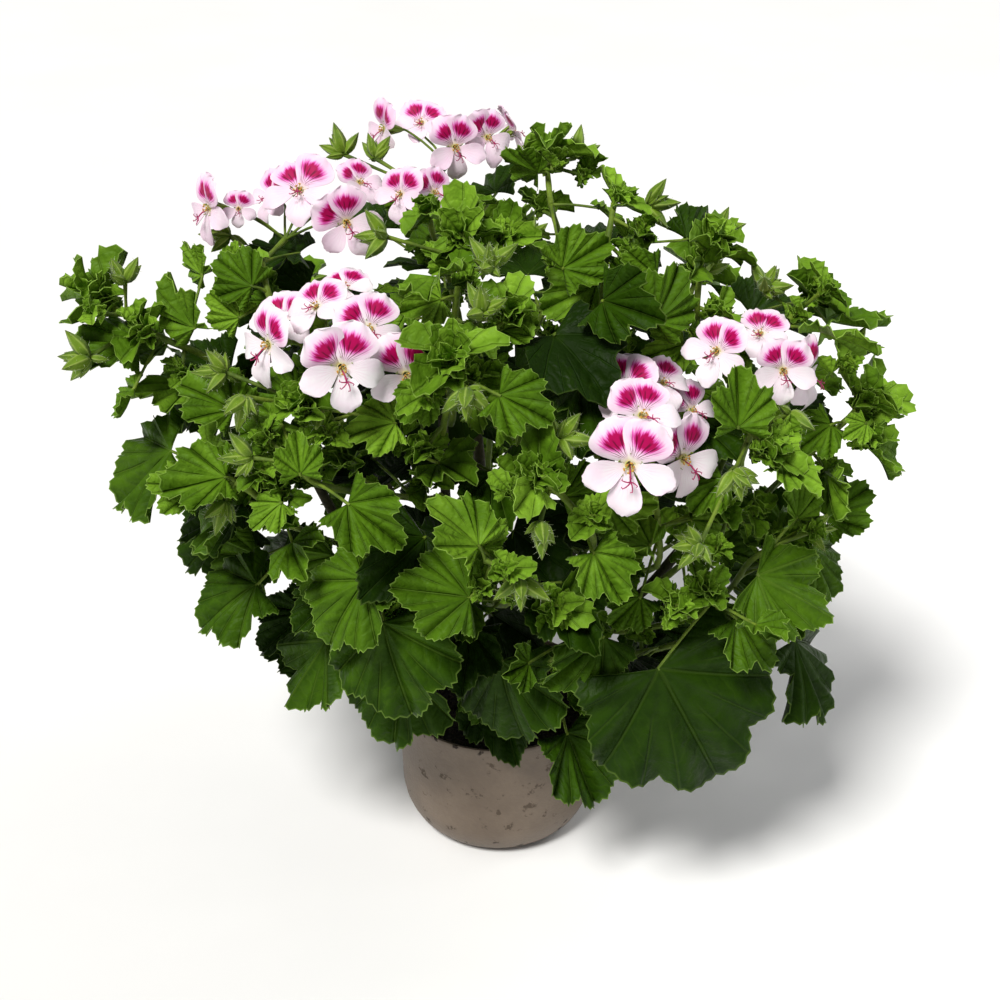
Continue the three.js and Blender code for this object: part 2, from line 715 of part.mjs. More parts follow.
// A tuft of young leaves on a stalk, every other one steeper and shorter; each is as long as it has room for.
function growTuft(node, route, tuft) {
  const centre = tuft.slice(0, 3);
  const reach = tuft[3];
  const normal = unit(plus([0, -0.15, 0.85], outward(centre), 0.6));
  const made = settle(centre, (shift) => {
    const place = plus(centre, shift);
    const root = nearestOf(route, place);
    const atTip = distance(root, place) < 0.8 * reach;
    const origin = atTip ? plus(root, normal, 3) : plus(place, normal, -0.3 * reach);
    const heart = disc(node, plus(origin, normal, 0.2 * reach), normal, 0.2 * reach, 0.1 * reach);
    return { root, origin, shapes: [{ ...heart, tuft }, rod(node, root, origin, stalkRadius)] };
  });
  if (!made) return;
  const { root, origin } = made;
  const along = square([0, 0, 1], normal);
  const frame = { origin, along, normal, across: cross(along, normal) };
  const start = draw(0, 360);
  const count = reach > 19 ? 5 : 4;
  const part = 180 / count;
  const corners = [];
  const leaves = [];
  for (let i = 0; i < count; i += 1) {
    const angle = start + 2 * part * i;
    const rise = radians(i % 2 ? 52 : 24);
    const out = turned(along, normal, angle);
    const midrib = plus(plus([0, 0, 0], out, Math.cos(rise)), normal, Math.sin(rise));
    const face = plus(plus([0, 0, 0], normal, Math.cos(rise)), out, -Math.sin(rise));
    const room = [1, 0.82, 0.66, 0.52, 0.4].map((share) => {
      const length = share * reach * (i % 2 ? 0.82 : 1.12);
      const middle = plus(origin, midrib, 0.62 * length);
      return { length, shape: { ...disc(node, middle, face, 0.4 * length, 0.07 * length + 0.4), tuft } };
    });
    const { length, shape } = room.find((one) => isClear(one.shape)) ?? room[4];
    leaves.push(shape);
    const side = turned(along, normal, angle - part);
    corners.push(plus(plus(origin, side, 0.17 * reach), normal, 0.03 * reach));
    tuftLeafEdge.forEach(([turn, far, lift]) => {
      const aside = turned(along, normal, angle + turn * part);
      const across = plus(origin, aside, far * length * Math.cos(rise));
      const out = plus(across, normal, far * length * Math.sin(rise));
      corners.push(plus(out, normal, lift * length));
    });
  }
  taken.push(...leaves);
  give(node, [rosette(frame, corners, 0.1 * reach, root, stalkRadius)]);
}

// A bunch of hairy pointed buds.
const ways = { up: [0, 0, 1], down: [0, -0.25, -1], left: [-1, 0, 0.1], right: [1, 0, 0.1] };
function growBuds(node, route, entry) {
  const [x, y, z, name, count] = entry;
  const place = [x, y, z];
  const axis = unit(plus(ways[name], outward(place), 0.4));
  const side = square(Math.abs(axis[2]) < 0.9 ? [0, 0, 1] : [1, 0, 0], axis);
  const lengths = [];
  for (let i = 0; i < count; i += 1) lengths.push(draw(12, 16));
  const made = settle(place, (shift, turn) => {
    const centre = plus(place, shift);
    const points = [nearestOf(route, centre), centre];
    const buds = lengths.map((length, i) => {
      const round = turned(side, axis, turn + 360 * i / Math.max(1, count - 1));
      const way = i === 0 ? axis : turned(axis, cross(axis, round), 52);
      return { from: plus(centre, way, 0.6), way, length };
    });
    const rods = buds.map((bud) => rod(node, bud.from, plus(bud.from, bud.way, bud.length), budRadius));
    return { points, buds, shapes: [...rods, ...rodsAlong(node, points, stalkRadius)] };
  });
  if (!made) return;
  const centre = made.points[1];
  give(node, [
    limb([made.points[0], plus(centre, axis, 0.5)], [stalkRadius, stalkRadius], 3, 1),
    spindle(plus(centre, axis, -1.5), axis, 4.5, 2.6, 4),
    ...made.buds.map((bud) => spindle(bud.from, bud.way, bud.length, budRadius, 3)),
  ]);
}

// A flower: two broad petals above, three narrow ones below, cupped round a short throat. The upper petal on
// one side lies behind the rest.
const petals = [
  { turn: 112, length: 0.96, half: 0.29 },
  { turn: 180, length: 1, half: 0.3 },
  { turn: 248, length: 0.96, half: 0.29 },
  { turn: 329, length: 1, half: 0.5 },
];
const petalEdge = [[0.1, 0.1], [0.8, 0.5], [0.95, 0.84], [0, 1], [-0.95, 0.84], [-0.8, 0.5], [-0.1, 0.1]];
function petalPoints(frame, petal, radius, back) {
  const along = turned(frame.along, frame.normal, petal.turn);
  const across = cross(along, frame.normal);
  return petalEdge.map(([x, y]) => {
    const lift = 0.36 * y - 0.22 * y * y - 0.1 * x * x * petal.half + back;
    const out = plus(plus(frame.origin, across, x * petal.half * radius), along, y * petal.length * radius);
    return plus(out, frame.normal, lift * radius);
  });
}
function flowerSolid(frame, radius) {
  const corners = petals.flatMap((petal) => petalPoints(frame, petal, radius, 0).slice(1, 6));
  const throatEnd = plus(frame.origin, frame.normal, -0.37 * radius);
  const front = rosette(frame, corners, 0.05 * radius, throatEnd, 0.07 * radius);
  const along = turned(frame.along, frame.normal, 31);
  const foot = plus(plus(frame.origin, frame.normal, -0.14 * radius), along, -0.06 * radius);
  const behind = petalEdge.slice(1, 6).map(([x, y]) => [x * 0.5 * radius, (y + 0.06) * radius]);
  const height = (x, y) => 0.36 * y - 0.22 * y * y / radius - 0.2 * x * x / radius;
  const upper = blade(behind, 0.6 * radius, height, 0.7, {
    origin: foot, along, normal: frame.normal, across: cross(along, frame.normal),
  });
  return front.add(upper);
}

function growFlower(head, entry, name, centre) {
  const [x, y, z, round, up, spin, radius] = entry;
  const place = [x, y, z];
  const node = `shoot_${head.shoot}`;
  const made = settle(place, (shift, turn) => {
    const yaw = radians(round + turn);
    const pitch = radians(up);
    const normal = [Math.sin(yaw) * Math.cos(pitch), -Math.cos(yaw) * Math.cos(pitch), Math.sin(pitch)];
    const along = turned(square([0, 0, 1], normal), normal, spin);
    const origin = plus(place, shift);
    const frame = { origin, along, normal, across: cross(along, normal) };
    const calyxFront = plus(origin, normal, -0.37 * radius - gap);
    const calyxBack = plus(calyxFront, normal, -0.34 * radius);
    const points = [centre, plus(between(centre, calyxBack, 0.5), [0, 0, 1], 2), calyxBack];
    const shapes = [
      disc(name, plus(origin, normal, 0.08 * radius), normal, 0.97 * radius, 0.09 * radius + 0.7),
      rod(name, origin, plus(origin, normal, -0.37 * radius), 0.14 * radius),
      rod(node, calyxFront, calyxBack, 2.4),
      ...rodsAlong(node, points, pedicelRadius),
    ];
    return { frame, calyxFront, calyxBack, points, shapes };
  });
  if (!made) return;
  give(name, [flowerSolid(made.frame, radius)]);
  give(node, [limb([centre, made.calyxBack, made.calyxFront], [pedicelRadius, 0.9, 0.13 * radius], 3, 2)]);
}

// stems first, then the heads, then everything that gives way to them
const routes = {};
branches.forEach((points) => {
  taken.push(...rodsAlong('woody_stems', pathPoints(points, woodSegments), woodRadius));
});
shoots.forEach((shoot) => {
  const joints = pathPoints(branches[shoot.branch], woodSegments);
  const low = Math.min(Math.floor(shoot.along * woodSegments), woodSegments - 1);
  const from = between(joints[low], joints[low + 1], shoot.along * woodSegments - low);
  const aside = square(plus(shoot.route[0], from, -1), unit(plus(joints[low + 1], joints[low], -1)));
  const thick = woodRadius * (thickBelow + (thinAbove - thickBelow) * shoot.along);
  const foot = plus(from, aside, thick + 2 * gap);
  const points = [foot, plus(foot, aside, 4), ...shoot.route];
  const node = `shoot_${shoot.name}`;
  const rings = pathPoints(points, 2 + shoot.route.length);
  const quarters = [0.25, 0.5, 0.75, 1];
  routes[shoot.name] = rings.slice(1).flatMap((ring, i) => quarters.map((t) => between(rings[i], ring, t)));
  taken.push(...rodsAlong(node, rings, shootRadius));
  give(node, [limb(points, [shootRadius, 0.8 * shootRadius], 4, 2 + shoot.route.length)]);
});

heads.forEach((head) => {
  const node = `shoot_${head.shoot}`;
  const root = nearestOf(routes[head.shoot], head.centre);
  taken.push(rod(node, root, head.centre, 1.5));
  const top = plus(head.centre, unit(plus(head.centre, root, -1)), 2);
  give(node, [limb([root, head.centre, top], [1.5, 1.5, 2.6], 4, 2)]);
  head.flowers.forEach((entry, i) => {
    const name = `flower_${head.name}_${i + 1}`;
    growFlower(head, entry, name, head.centre);
  });
});
shoots.forEach((shoot) => {
  const node = `shoot_${shoot.name}`;
  shoot.leaves.forEach(([bx, by, bz, tx, ty, tz, turn = 0]) => {
    growLeaf(node, routes[shoot.name], [bx, by, bz], [tx, ty, tz], turn);
  });
});
shoots.forEach((shoot) => {
  const node = `shoot_${shoot.name}`;
  shoot.tufts.forEach((tuft) => growTuft(node, routes[shoot.name], tuft));
  shoot.buds.forEach((entry) => growBuds(node, routes[shoot.name], entry));
});

// The rest of the foliage: places on a spiral over the crown, deeper inside where the front is full already.
for (let i = 0; i < fillLeaves; i += 1) {
  const angle = radians(i * 137.508);
  const height = -0.86 + 1.66 * (i + 0.5) / fillLeaves;
  const back = Math.sin(angle);
  const depth = 0.8 + 0.16 * back;
  const around = Math.sqrt(1 - height * height) * depth;
  const place = [
    canopy.halfWidth * around * Math.cos(angle), 8 + canopy.halfDepth * around * back,
    canopy.middle + canopy.halfHeight * height * (0.9 + 0.1 * depth),
  ];
  const out = outward(place);
  const length = draw(38, 56) - 10 * Math.max(0, height);
  const droop = draw(-0.9, -0.3) + 0.9 * Math.max(0, height);
  const aside = draw(-0.5, 0.5);
  const way = unit([out[0] - out[1] * aside, out[1] + out[0] * aside, droop]);
  const base = plus(place, way, -0.35 * length);
  const shoot = shoots.reduce((best, other) => {
    const reachOf = (one) => distance(nearestOf(routes[one.name], base), base);
    return reachOf(other) < reachOf(best) ? other : best;
  });
  const far = distance(nearestOf(routes[shoot.name], base), base);
  if (far < furthestFill && far > nearestFill) {
    growLeaf(`shoot_${shoot.name}`, routes[shoot.name], base, plus(base, way, length), 0);
  }
}

// each node is one mesh with a material of its own
const leafGreens = [0x3f7a1e, 0x4a8522, 0x376b1c, 0x55902a];
const plant = new THREE.Group();
function show(name, solid, colour, roughness) {
  const material = new THREE.MeshStandardMaterial({ color: colour, roughness, metalness: 0 });
  const mesh = new THREE.Mesh(geometryOf(solid), material);
  mesh.name = name;
  plant.add(mesh);
}
show('pot', potSolid(), 0x6e5f55, 0.75);
show('soil', soilSolid(), 0x241a12, 0.95);
show('woody_stems', woodSolid(), 0x4a3a22, 0.85);
Object.entries(pieces).forEach(([name, solids], i) => {
  const isFlower = name.startsWith('flower');
  show(name, joined(solids), isFlower ? 0xf3e4ea : leafGreens[i % leafGreens.length], isFlower ? 0.6 : 0.65);
});

export default plant;
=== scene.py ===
import math

import bpy
import numpy as np
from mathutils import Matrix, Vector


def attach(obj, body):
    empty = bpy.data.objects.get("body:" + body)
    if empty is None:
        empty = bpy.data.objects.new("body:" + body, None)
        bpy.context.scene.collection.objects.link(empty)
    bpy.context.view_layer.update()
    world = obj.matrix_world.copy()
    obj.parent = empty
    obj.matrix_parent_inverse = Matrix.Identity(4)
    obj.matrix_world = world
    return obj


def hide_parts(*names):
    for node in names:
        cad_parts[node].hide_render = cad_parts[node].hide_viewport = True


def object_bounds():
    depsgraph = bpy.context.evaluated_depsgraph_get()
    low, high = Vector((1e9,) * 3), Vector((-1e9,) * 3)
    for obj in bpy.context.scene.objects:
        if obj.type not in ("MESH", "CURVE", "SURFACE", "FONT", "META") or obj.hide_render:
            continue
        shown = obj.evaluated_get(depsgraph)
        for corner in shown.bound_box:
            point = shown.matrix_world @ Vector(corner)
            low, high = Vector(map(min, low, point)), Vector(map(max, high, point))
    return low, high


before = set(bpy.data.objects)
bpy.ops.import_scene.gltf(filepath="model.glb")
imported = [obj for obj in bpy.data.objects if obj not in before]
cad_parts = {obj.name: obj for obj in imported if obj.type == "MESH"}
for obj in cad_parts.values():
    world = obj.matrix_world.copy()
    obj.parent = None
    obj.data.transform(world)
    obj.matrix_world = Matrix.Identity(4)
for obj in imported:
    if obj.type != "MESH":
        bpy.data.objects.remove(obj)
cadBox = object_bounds()
shade = np.random.default_rng(31)  # small differences from leaf to leaf, the same every time

# the view: 30 degrees down from in front of the plant
viewSettings = dict(place=(0.0015, -0.875, 0.743), tilt=60, lens=58.86, sensor=36, nearest=0.02)
bpy.ops.object.select_all(action="DESELECT")
bpy.ops.object.camera_add(location=viewSettings["place"], rotation=(math.radians(viewSettings["tilt"]), 0, 0))
camera = bpy.context.object
camera.data.lens = viewSettings["lens"]
camera.data.sensor_width = viewSettings["sensor"]
camera.data.clip_start = viewSettings["nearest"]
bpy.context.scene.camera = camera
bpy.context.scene.view_settings.view_transform = "Standard"

# soft studio light: a bright room, broad even light from above on the left, a weak lamp from the right
lightSettings = dict(
    room=0.26, middle=(0, 0, 0.25),
    lamps=[
        dict(type="SUN", place=(-0.45, -0.7, 1.5),
             look=dict(angle=0.3, energy=3.5, color=(1.0, 0.985, 0.95))),
        dict(type="AREA", place=(1.2, 0.4, 1.0), look=dict(shape="DISK", size=0.8, energy=6)),
    ],
)
world = bpy.data.worlds.new("studio")
bpy.context.scene.world = world
world.use_nodes = True
world.node_tree.nodes["Background"].inputs["Color"].default_value = (1, 1, 1, 1)
world.node_tree.nodes["Background"].inputs["Strength"].default_value = lightSettings["room"]
for entry in lightSettings["lamps"]:
    bpy.ops.object.light_add(type=entry["type"], location=entry["place"])
    lamp = bpy.context.object
    for key, value in entry["look"].items():
        setattr(lamp.data, key, value)
    aim = np.array(entry["place"]) - np.array(lightSettings["middle"])
    down = math.acos(aim[2] / np.linalg.norm(aim))
    lamp.rotation_euler = (down, 0, math.atan2(aim[1], aim[0]) + math.pi / 2)
print("view and lights set")


# node helpers: an input takes a plain value or what another node puts out
def addNode(tree, kind, inputs=None, **settings):
    made = tree.nodes.new("ShaderNode" + kind)
    for key, value in settings.items():
        setattr(made, key, value)
    for key, value in (inputs or {}).items():
        if isinstance(value, bpy.types.NodeSocket):
            tree.links.new(value, made.inputs[key])
        else:
            made.inputs[key].default_value = value
    return made


def calc(tree, operation, *values):
    return addNode(tree, "Math", dict(enumerate(values)), operation=operation).outputs[0]


def times(tree, a, b):
    return calc(tree, "MULTIPLY", a, b)


def apart(tree, a, b):
    return calc(tree, "ABSOLUTE", calc(tree, "SUBTRACT", a, b))


def step(tree, value, low, high, start=0.0, end=1.0):  # eases from start to end as the value goes low to high
    inputs = {0: value, 1: low, 2: high, 3: start, 4: end}
    return addNode(tree, "MapRange", inputs, interpolation_type="SMOOTHSTEP").outputs[0]


def opaque(colour):
    return (*colour, 1) if isinstance(colour, tuple) else colour


def blend(tree, share, a, b):  # from colour a to colour b
    return addNode(tree, "Mix", {0: share, 6: opaque(a), 7: opaque(b)}, data_type="RGBA").outputs[2]


def ramp(tree, value, stops):
    made = addNode(tree, "ValToRGB", {0: value})
    for i, (place, colour) in enumerate(stops):
        entry = made.color_ramp.elements[i] if i < 2 else made.color_ramp.elements.new(place)
        entry.position = place
        entry.color = opaque(colour)
    return made.outputs[0]


def newGroup(name, inputs, outputs):  # every input and output is a number, apart from the UV map
    tree = bpy.data.node_groups.new(name, "ShaderNodeTree")
    for labels, side in ((inputs, "INPUT"), (outputs, "OUTPUT")):
        for label in labels:
            kind = "NodeSocketVector" if label == "UV" else "NodeSocketFloat"
            tree.interface.new_socket(label, in_out=side, socket_type=kind)
    return tree, tree.nodes.new("NodeGroupInput").outputs, tree.nodes.new("NodeGroupOutput").inputs


def newMaterial(name, **look):  # what is the same all over goes on the shader itself
    material = bpy.data.materials.new(name)
    material.use_nodes = True
    shader = material.node_tree.nodes["Principled BSDF"]
    for key, value in look.items():
        shader.inputs[key.replace("_", " ")].default_value = value
    return material, material.node_tree, shader


def finishWith(tree, shader, colour, roughness=None, height=None, strength=0.5, distance=0.0005):
    tree.links.new(colour, shader.inputs["Base Color"])
    if roughness is not None:
        tree.links.new(roughness, shader.inputs["Roughness"])
    if height is not None:
        bump = addNode(tree, "Bump", {"Height": height, "Strength": strength, "Distance": distance})
        tree.links.new(bump.outputs[0], shader.inputs["Normal"])


# cloudy patches on Object coordinates, for every surface that isn't one even colour
def makeMottle():
    tree, given, result = newGroup("mottle", ["Scale", "Low", "High"], ["Mask"])
    place = addNode(tree, "TexCoord").outputs["Object"]
    noise = {"Vector": place, "Scale": given["Scale"], "Detail": 4.0, "Roughness": 0.6}
    cloud = addNode(tree, "TexNoise", noise).outputs["Fac"]
    tree.links.new(step(tree, cloud, given["Low"], given["High"]), result["Mask"])
    return tree


# the veins of a fan-shaped leaf, and a mask for painted shade in its creases, from its UV map: u turns round
# the foot of the blade, v runs out to the edge
def makeFanVeins():
    tree, given, result = newGroup(
        "fanVeins", ["UV", "Lobes aside", "Side veins"], ["Veins", "Edge", "Height", "Fold shade"])
    along = addNode(tree, "SeparateXYZ", {0: given["UV"]})
    u, v = along.outputs["X"], along.outputs["Y"]
    lobe = times(tree, calc(tree, "MULTIPLY_ADD", u, 2.0, -1.0), given["Lobes aside"])
    fromRib = apart(tree, lobe, calc(tree, "ROUND", lobe))
    fromSecond = apart(tree, fromRib, 0.333)
    rib = step(tree, times(tree, fromRib, v), 0.004, 0.022, 1.0, 0.0)
    second = step(tree, times(tree, fromSecond, v), 0.003, 0.018, 1.0, 0.0)
    rib = calc(tree, "MAXIMUM", rib, times(tree, second, step(tree, v, 0.3, 0.5, 0.0, 0.8)))

    # side veins branch off the ribs, a little unevenly
    uneven = addNode(tree, "TexNoise", {"Vector": given["UV"], "Scale": 7.0, "Detail": 2.0}).outputs["Fac"]
    rise = times(tree, v, calc(tree, "MULTIPLY_ADD", fromRib, -1.1, 1.0))
    rise = calc(tree, "MULTIPLY_ADD", uneven, 0.22, rise)
    fromSide = apart(tree, calc(tree, "FRACT", times(tree, rise, given["Side veins"])), 0.5)
    side = times(tree, step(tree, fromSide, 0.02, 0.11, 1.0, 0.0), step(tree, v, 0.2, 0.45, 0.0, 0.6))
    side = times(tree, side, step(tree, fromRib, 0.3, 0.5, 1.0, 0.0))
    puff = times(tree, step(tree, fromSide, 0.0, 0.4), step(tree, v, 0.1, 0.6, 0.0, 0.6))
    # painted shade: a mask along the ribs, and along the second ribs away from the foot, where the creases
    # lie
    nearFoot = step(tree, v, 0.25, 0.6, 0.12, 0.0)
    fromFold = calc(tree, "MINIMUM", fromRib, calc(tree, "MULTIPLY_ADD", fromSecond, 1.4, nearFoot))
    for label, value in (
        ("Veins", calc(tree, "MAXIMUM", rib, times(tree, side, 0.5))),
        ("Edge", step(tree, v, 0.972, 0.995)),
        ("Height", calc(tree, "SUBTRACT", puff, times(tree, rib, 1.4))),
        ("Fold shade", step(tree, fromFold, 0.01, 0.13, 1.0, 0.0)),
    ):
        tree.links.new(value, result[label])
    return tree


mottle = makeMottle()
fanVeins = makeFanVeins()


def patches(tree, scale, low=0.3, high=0.7):
    inputs = {"Scale": scale, "Low": low, "High": high}
    return addNode(tree, "Group", inputs, node_tree=mottle).outputs["Mask"]


def uvParts(tree):
    uv = addNode(tree, "SeparateXYZ", {0: addNode(tree, "TexCoord").outputs["UV"]})
    return uv.outputs["X"], uv.outputs["Y"]


# leaves: greens from young to old, and of the paler side beneath, and the dark green of the shade painted in
# the creases; a leaf's age is an attribute of its mesh
leafColours = dict(
    upper=[
        (0.0, (0.23, 0.42, 0.03)), (0.3, (0.076, 0.165, 0.007)), (0.6, (0.024, 0.062, 0.002)),
        (1.0, (0.007, 0.02, 0.001)),
    ],
    under=[(0.0, (0.16, 0.26, 0.02)), (0.5, (0.07, 0.12, 0.02)), (1.0, (0.03, 0.055, 0.012))],
    # fold: the near-black green of the painted shade in the creases beside the ribs
    fold=(0.006, 0.022, 0.001), vein=(0.13, 0.22, 0.025), edge=(0.34, 0.52, 0.1),
)


def leafMaterial(name, lobesAside, sideVeins, under=False):
    material, tree, shader = newMaterial(name, Specular_IOR_Level=0.06)
    uv = addNode(tree, "TexCoord").outputs["UV"]
    age = addNode(tree, "Attribute", attribute_name="age").outputs["Fac"]
    inputs = {"UV": uv, "Lobes aside": lobesAside, "Side veins": sideVeins}
    pattern = addNode(tree, "Group", inputs, node_tree=fanVeins).outputs
    broad = patches(tree, 55.0, 0.35)
    older = calc(tree, "MULTIPLY_ADD", broad, 0.16, calc(tree, "SUBTRACT", age, 0.08))
    colour = ramp(tree, older, leafColours["under" if under else "upper"])
    # painted shade: on the upper side the creases beside the ribs are darkened, more on older leaves
    if not under:
        dark = times(tree, pattern["Fold shade"], calc(tree, "MULTIPLY_ADD", age, 0.45, 0.12))
        colour = blend(tree, dark, colour, leafColours["fold"])
    fade = calc(tree, "MULTIPLY_ADD", age, -0.38, 0.42)
    colour = blend(tree, times(tree, pattern["Veins"], fade), colour, leafColours["vein"])
    colour = blend(tree, times(tree, pattern["Edge"], times(tree, fade, 1.5)), colour, leafColours["edge"])
    relief = times(tree, pattern["Height"], -1.0 if under else 1.0)
    height = calc(tree, "MULTIPLY_ADD", patches(tree, 420.0), 0.22, relief)
    finishWith(tree, shader, colour, step(tree, broad, 0.0, 1.0, 0.4, 0.55), height, 0.75, 0.0008)
    return material


leafTop = leafMaterial("leaf_top", 2.0, 6.0)
leafUnder = leafMaterial("leaf_under", 2.0, 6.0, under=True)
youngTop = leafMaterial("young_leaf_top", 1.0, 4.0)
youngUnder = leafMaterial("young_leaf_under", 1.0, 4.0, under=True)


def streakMaterial(name, light, dark, roughness, scale, bump):  # stems: light streaks over a darker ground
    material, tree, shader = newMaterial(name, Roughness=roughness, Specular_IOR_Level=0.3)
    fine = patches(tree, scale * 9)
    colour = blend(tree, patches(tree, scale), dark, light)
    colour = blend(tree, times(tree, fine, 0.35), colour, dark)
    finishWith(tree, shader, colour, None, fine, 0.5, bump)
    return material


stemGreen = streakMaterial("stem", (0.19, 0.28, 0.022), (0.055, 0.1, 0.008), 0.6, 60.0, 0.0003)
bark = streakMaterial("bark", (0.06, 0.055, 0.02), (0.014, 0.014, 0.006), 0.8, 45.0, 0.0008)


def sepalMaterial():  # five light seams run from the foot of a bud to its tip
    material, tree, shader = newMaterial("sepals", Roughness=0.6, Specular_IOR_Level=0.3, Sheen_Weight=0.08)
    u, v = uvParts(tree)
    seam = calc(tree, "PINGPONG", times(tree, u, 10.0), 1.0)
    colour = blend(tree, patches(tree, 80.0), (0.085, 0.165, 0.005), (0.17, 0.285, 0.011))
    colour = blend(tree, times(tree, step(tree, seam, 0.6, 0.95), 0.55), colour, (0.36, 0.47, 0.1))
    colour = blend(tree, step(tree, v, 0.8, 1.0, 0.0, 0.35), colour, (0.5, 0.48, 0.2))
    finishWith(tree, shader, colour, None, seam, 0.9, 0.0008)
    return material


def plainMaterial(name, first, second, roughness, scale, low=0.35, high=0.65, bumpy=True):
    material, tree, shader = newMaterial(name, Roughness=roughness)
    mask = patches(tree, scale, low, high)
    finishWith(tree, shader, blend(tree, mask, first, second), None, mask if bumpy else None, 0.3, 0.0003)
    return material


sepals = sepalMaterial()
hairMaterial = plainMaterial("hairs", (0.5, 0.6, 0.35), (0.75, 0.8, 0.6), 0.5, 200.0, 0.3, 0.7, bumpy=False)
throatMaterial = plainMaterial("throat", (0.5, 0.52, 0.12), (0.62, 0.5, 0.22), 0.5, 500.0)
antherMaterial = plainMaterial("anthers", (0.6, 0.36, 0.05), (0.5, 0.22, 0.03), 0.7, 900.0)
styleMaterial = plainMaterial("style", (0.45, 0.02, 0.13), (0.28, 0.01, 0.08), 0.5, 600.0)

# petals, from their UV map: u across, v from the foot to the rim; the attribute "age" says how pink they are
petalColours = dict(
    white=(0.88, 0.83, 0.86), blush=(0.9, 0.5, 0.78), halo=(0.72, 0.02, 0.42), wine=(0.41, 0.0001, 0.08),
    dark=(0.15, 0.0001, 0.03), faintVeins=(0.7, 0.3, 0.5), foot=(0.75, 0.7, 0.35),
)
blotchLook = dict(middle=0.52, halfWidth=0.46, halfHeight=0.17, ragged=2.0, rays=2.7,
                  rings=[(0.9, 3.2, 0.6, "blush"), (0.9, 1.7, 0.9, "halo"), (0.75, 1.15, 1.0, "wine")])


def petalMaterial(name, blotch):
    material, tree, shader = newMaterial(
        name, Roughness=0.55, Specular_IOR_Level=0.15, Subsurface_Weight=0.06, Subsurface_Scale=0.002,
        Subsurface_Radius=(1.0, 0.6, 0.7))
    u, v = uvParts(tree)
    x = calc(tree, "MULTIPLY_ADD", u, 2.0, -1.0)
    fan = calc(tree, "DIVIDE", x, calc(tree, "ADD", v, 0.35))
    streaks = addNode(tree, "CombineXYZ", {0: fan, 1: times(tree, v, 0.12)}).outputs[0]
    feather = addNode(tree, "TexNoise", {"Vector": streaks, "Scale": 9.0, "Detail": 3.0, "Roughness": 0.7})
    feather = feather.outputs["Fac"]
    spread = calc(tree, "DIVIDE", x, calc(tree, "ADD", v, 0.22))  # the same along each ray from the foot
    spread = calc(tree, "MULTIPLY_ADD", spread, blotchLook["rays"], times(tree, feather, 0.8))
    rays = calc(tree, "PINGPONG", spread, 0.5)
    rayLine = step(tree, rays, 0.08, 0.2, 1.0, 0.0)
    pink = addNode(tree, "Attribute", attribute_name="age").outputs["Fac"]
    pink = calc(tree, "MULTIPLY_ADD", patches(tree, 70.0, 0.35), 0.22, times(tree, pink, 0.5))
    colour = blend(tree, pink, petalColours["white"], petalColours["blush"])
    if blotch:
        across = calc(tree, "DIVIDE", x, blotchLook["halfWidth"])
        up = calc(tree, "DIVIDE", calc(tree, "SUBTRACT", v, blotchLook["middle"]), blotchLook["halfHeight"])
        ring = calc(tree, "ADD", calc(tree, "POWER", across, 2.0), calc(tree, "POWER", up, 2.0))
        frayed = calc(tree, "MULTIPLY_ADD", feather, blotchLook["ragged"], -0.95)
        ring = calc(tree, "SUBTRACT", calc(tree, "SQRT", ring), frayed)
        for inner, outer, share, tone in blotchLook["rings"]:
            mask = step(tree, ring, inner, outer, blotch * share, 0.0)
            colour = blend(tree, mask, colour, petalColours[tone])
        low = times(tree, rayLine, step(tree, v, 0.5, 0.62, 0.95, 0.0))
        low = times(tree, low, step(tree, calc(tree, "ABSOLUTE", x), 0.45, 0.75, blotch, 0.0))
        low = times(tree, low, step(tree, v, 0.06, 0.16))
        colour = blend(tree, low, colour, petalColours["dark"])
    else:
        faint = times(tree, rayLine, step(tree, v, 0.15, 0.7, 0.28, 0.0))
        colour = blend(tree, faint, colour, petalColours["faintVeins"])
    colour = blend(tree, step(tree, v, 0.02, 0.16, 0.5, 0.0), colour, petalColours["foot"])
    finishWith(tree, shader, colour, None, rays, 0.25, 0.0003)
    return material


petalUpper = petalMaterial("petal_upper", 1.0)
petalLower = petalMaterial("petal_lower", 0.0)
petalBack = petalMaterial("petal_back", 0.28)
print("materials made")


# vectors as plain lists of three numbers
def plus(a, b, k=1.0):
    return [a[0] + b[0] * k, a[1] + b[1] * k, a[2] + b[2] * k]


def dot(a, b):
    return a[0] * b[0] + a[1] * b[1] + a[2] * b[2]


def cross(a, b):
    return [a[1] * b[2] - a[2] * b[1], a[2] * b[0] - a[0] * b[2], a[0] * b[1] - a[1] * b[0]]


def size(a):
    return math.sqrt(dot(a, a))


def unit(a):
    return plus([0, 0, 0], a, 1 / size(a))


def between(a, b, t):
    return plus(a, plus(b, a, -1), t)


def distance(a, b):
    return size(plus(a, b, -1))


def square(a, axis):  # a, made square to the axis
    return unit(plus(a, axis, -dot(a, axis)))


def sideOf(axis, wanted=(0, 0, 1)):
    return square(wanted if abs(axis[2]) < 0.9 else [1, 0, 0], axis)


def turned(a, axis, degrees):
    angle = math.radians(degrees)
    return plus(plus([0, 0, 0], a, math.cos(angle)), cross(axis, a), math.sin(angle))


def raised(out, normal, rise):  # the way of a leaf that rises from a rosette, and the way its face looks
    way = plus(plus([0, 0, 0], out, math.cos(rise)), normal, math.sin(rise))
    return way, plus(plus([0, 0, 0], normal, math.cos(rise)), out, -math.sin(rise))


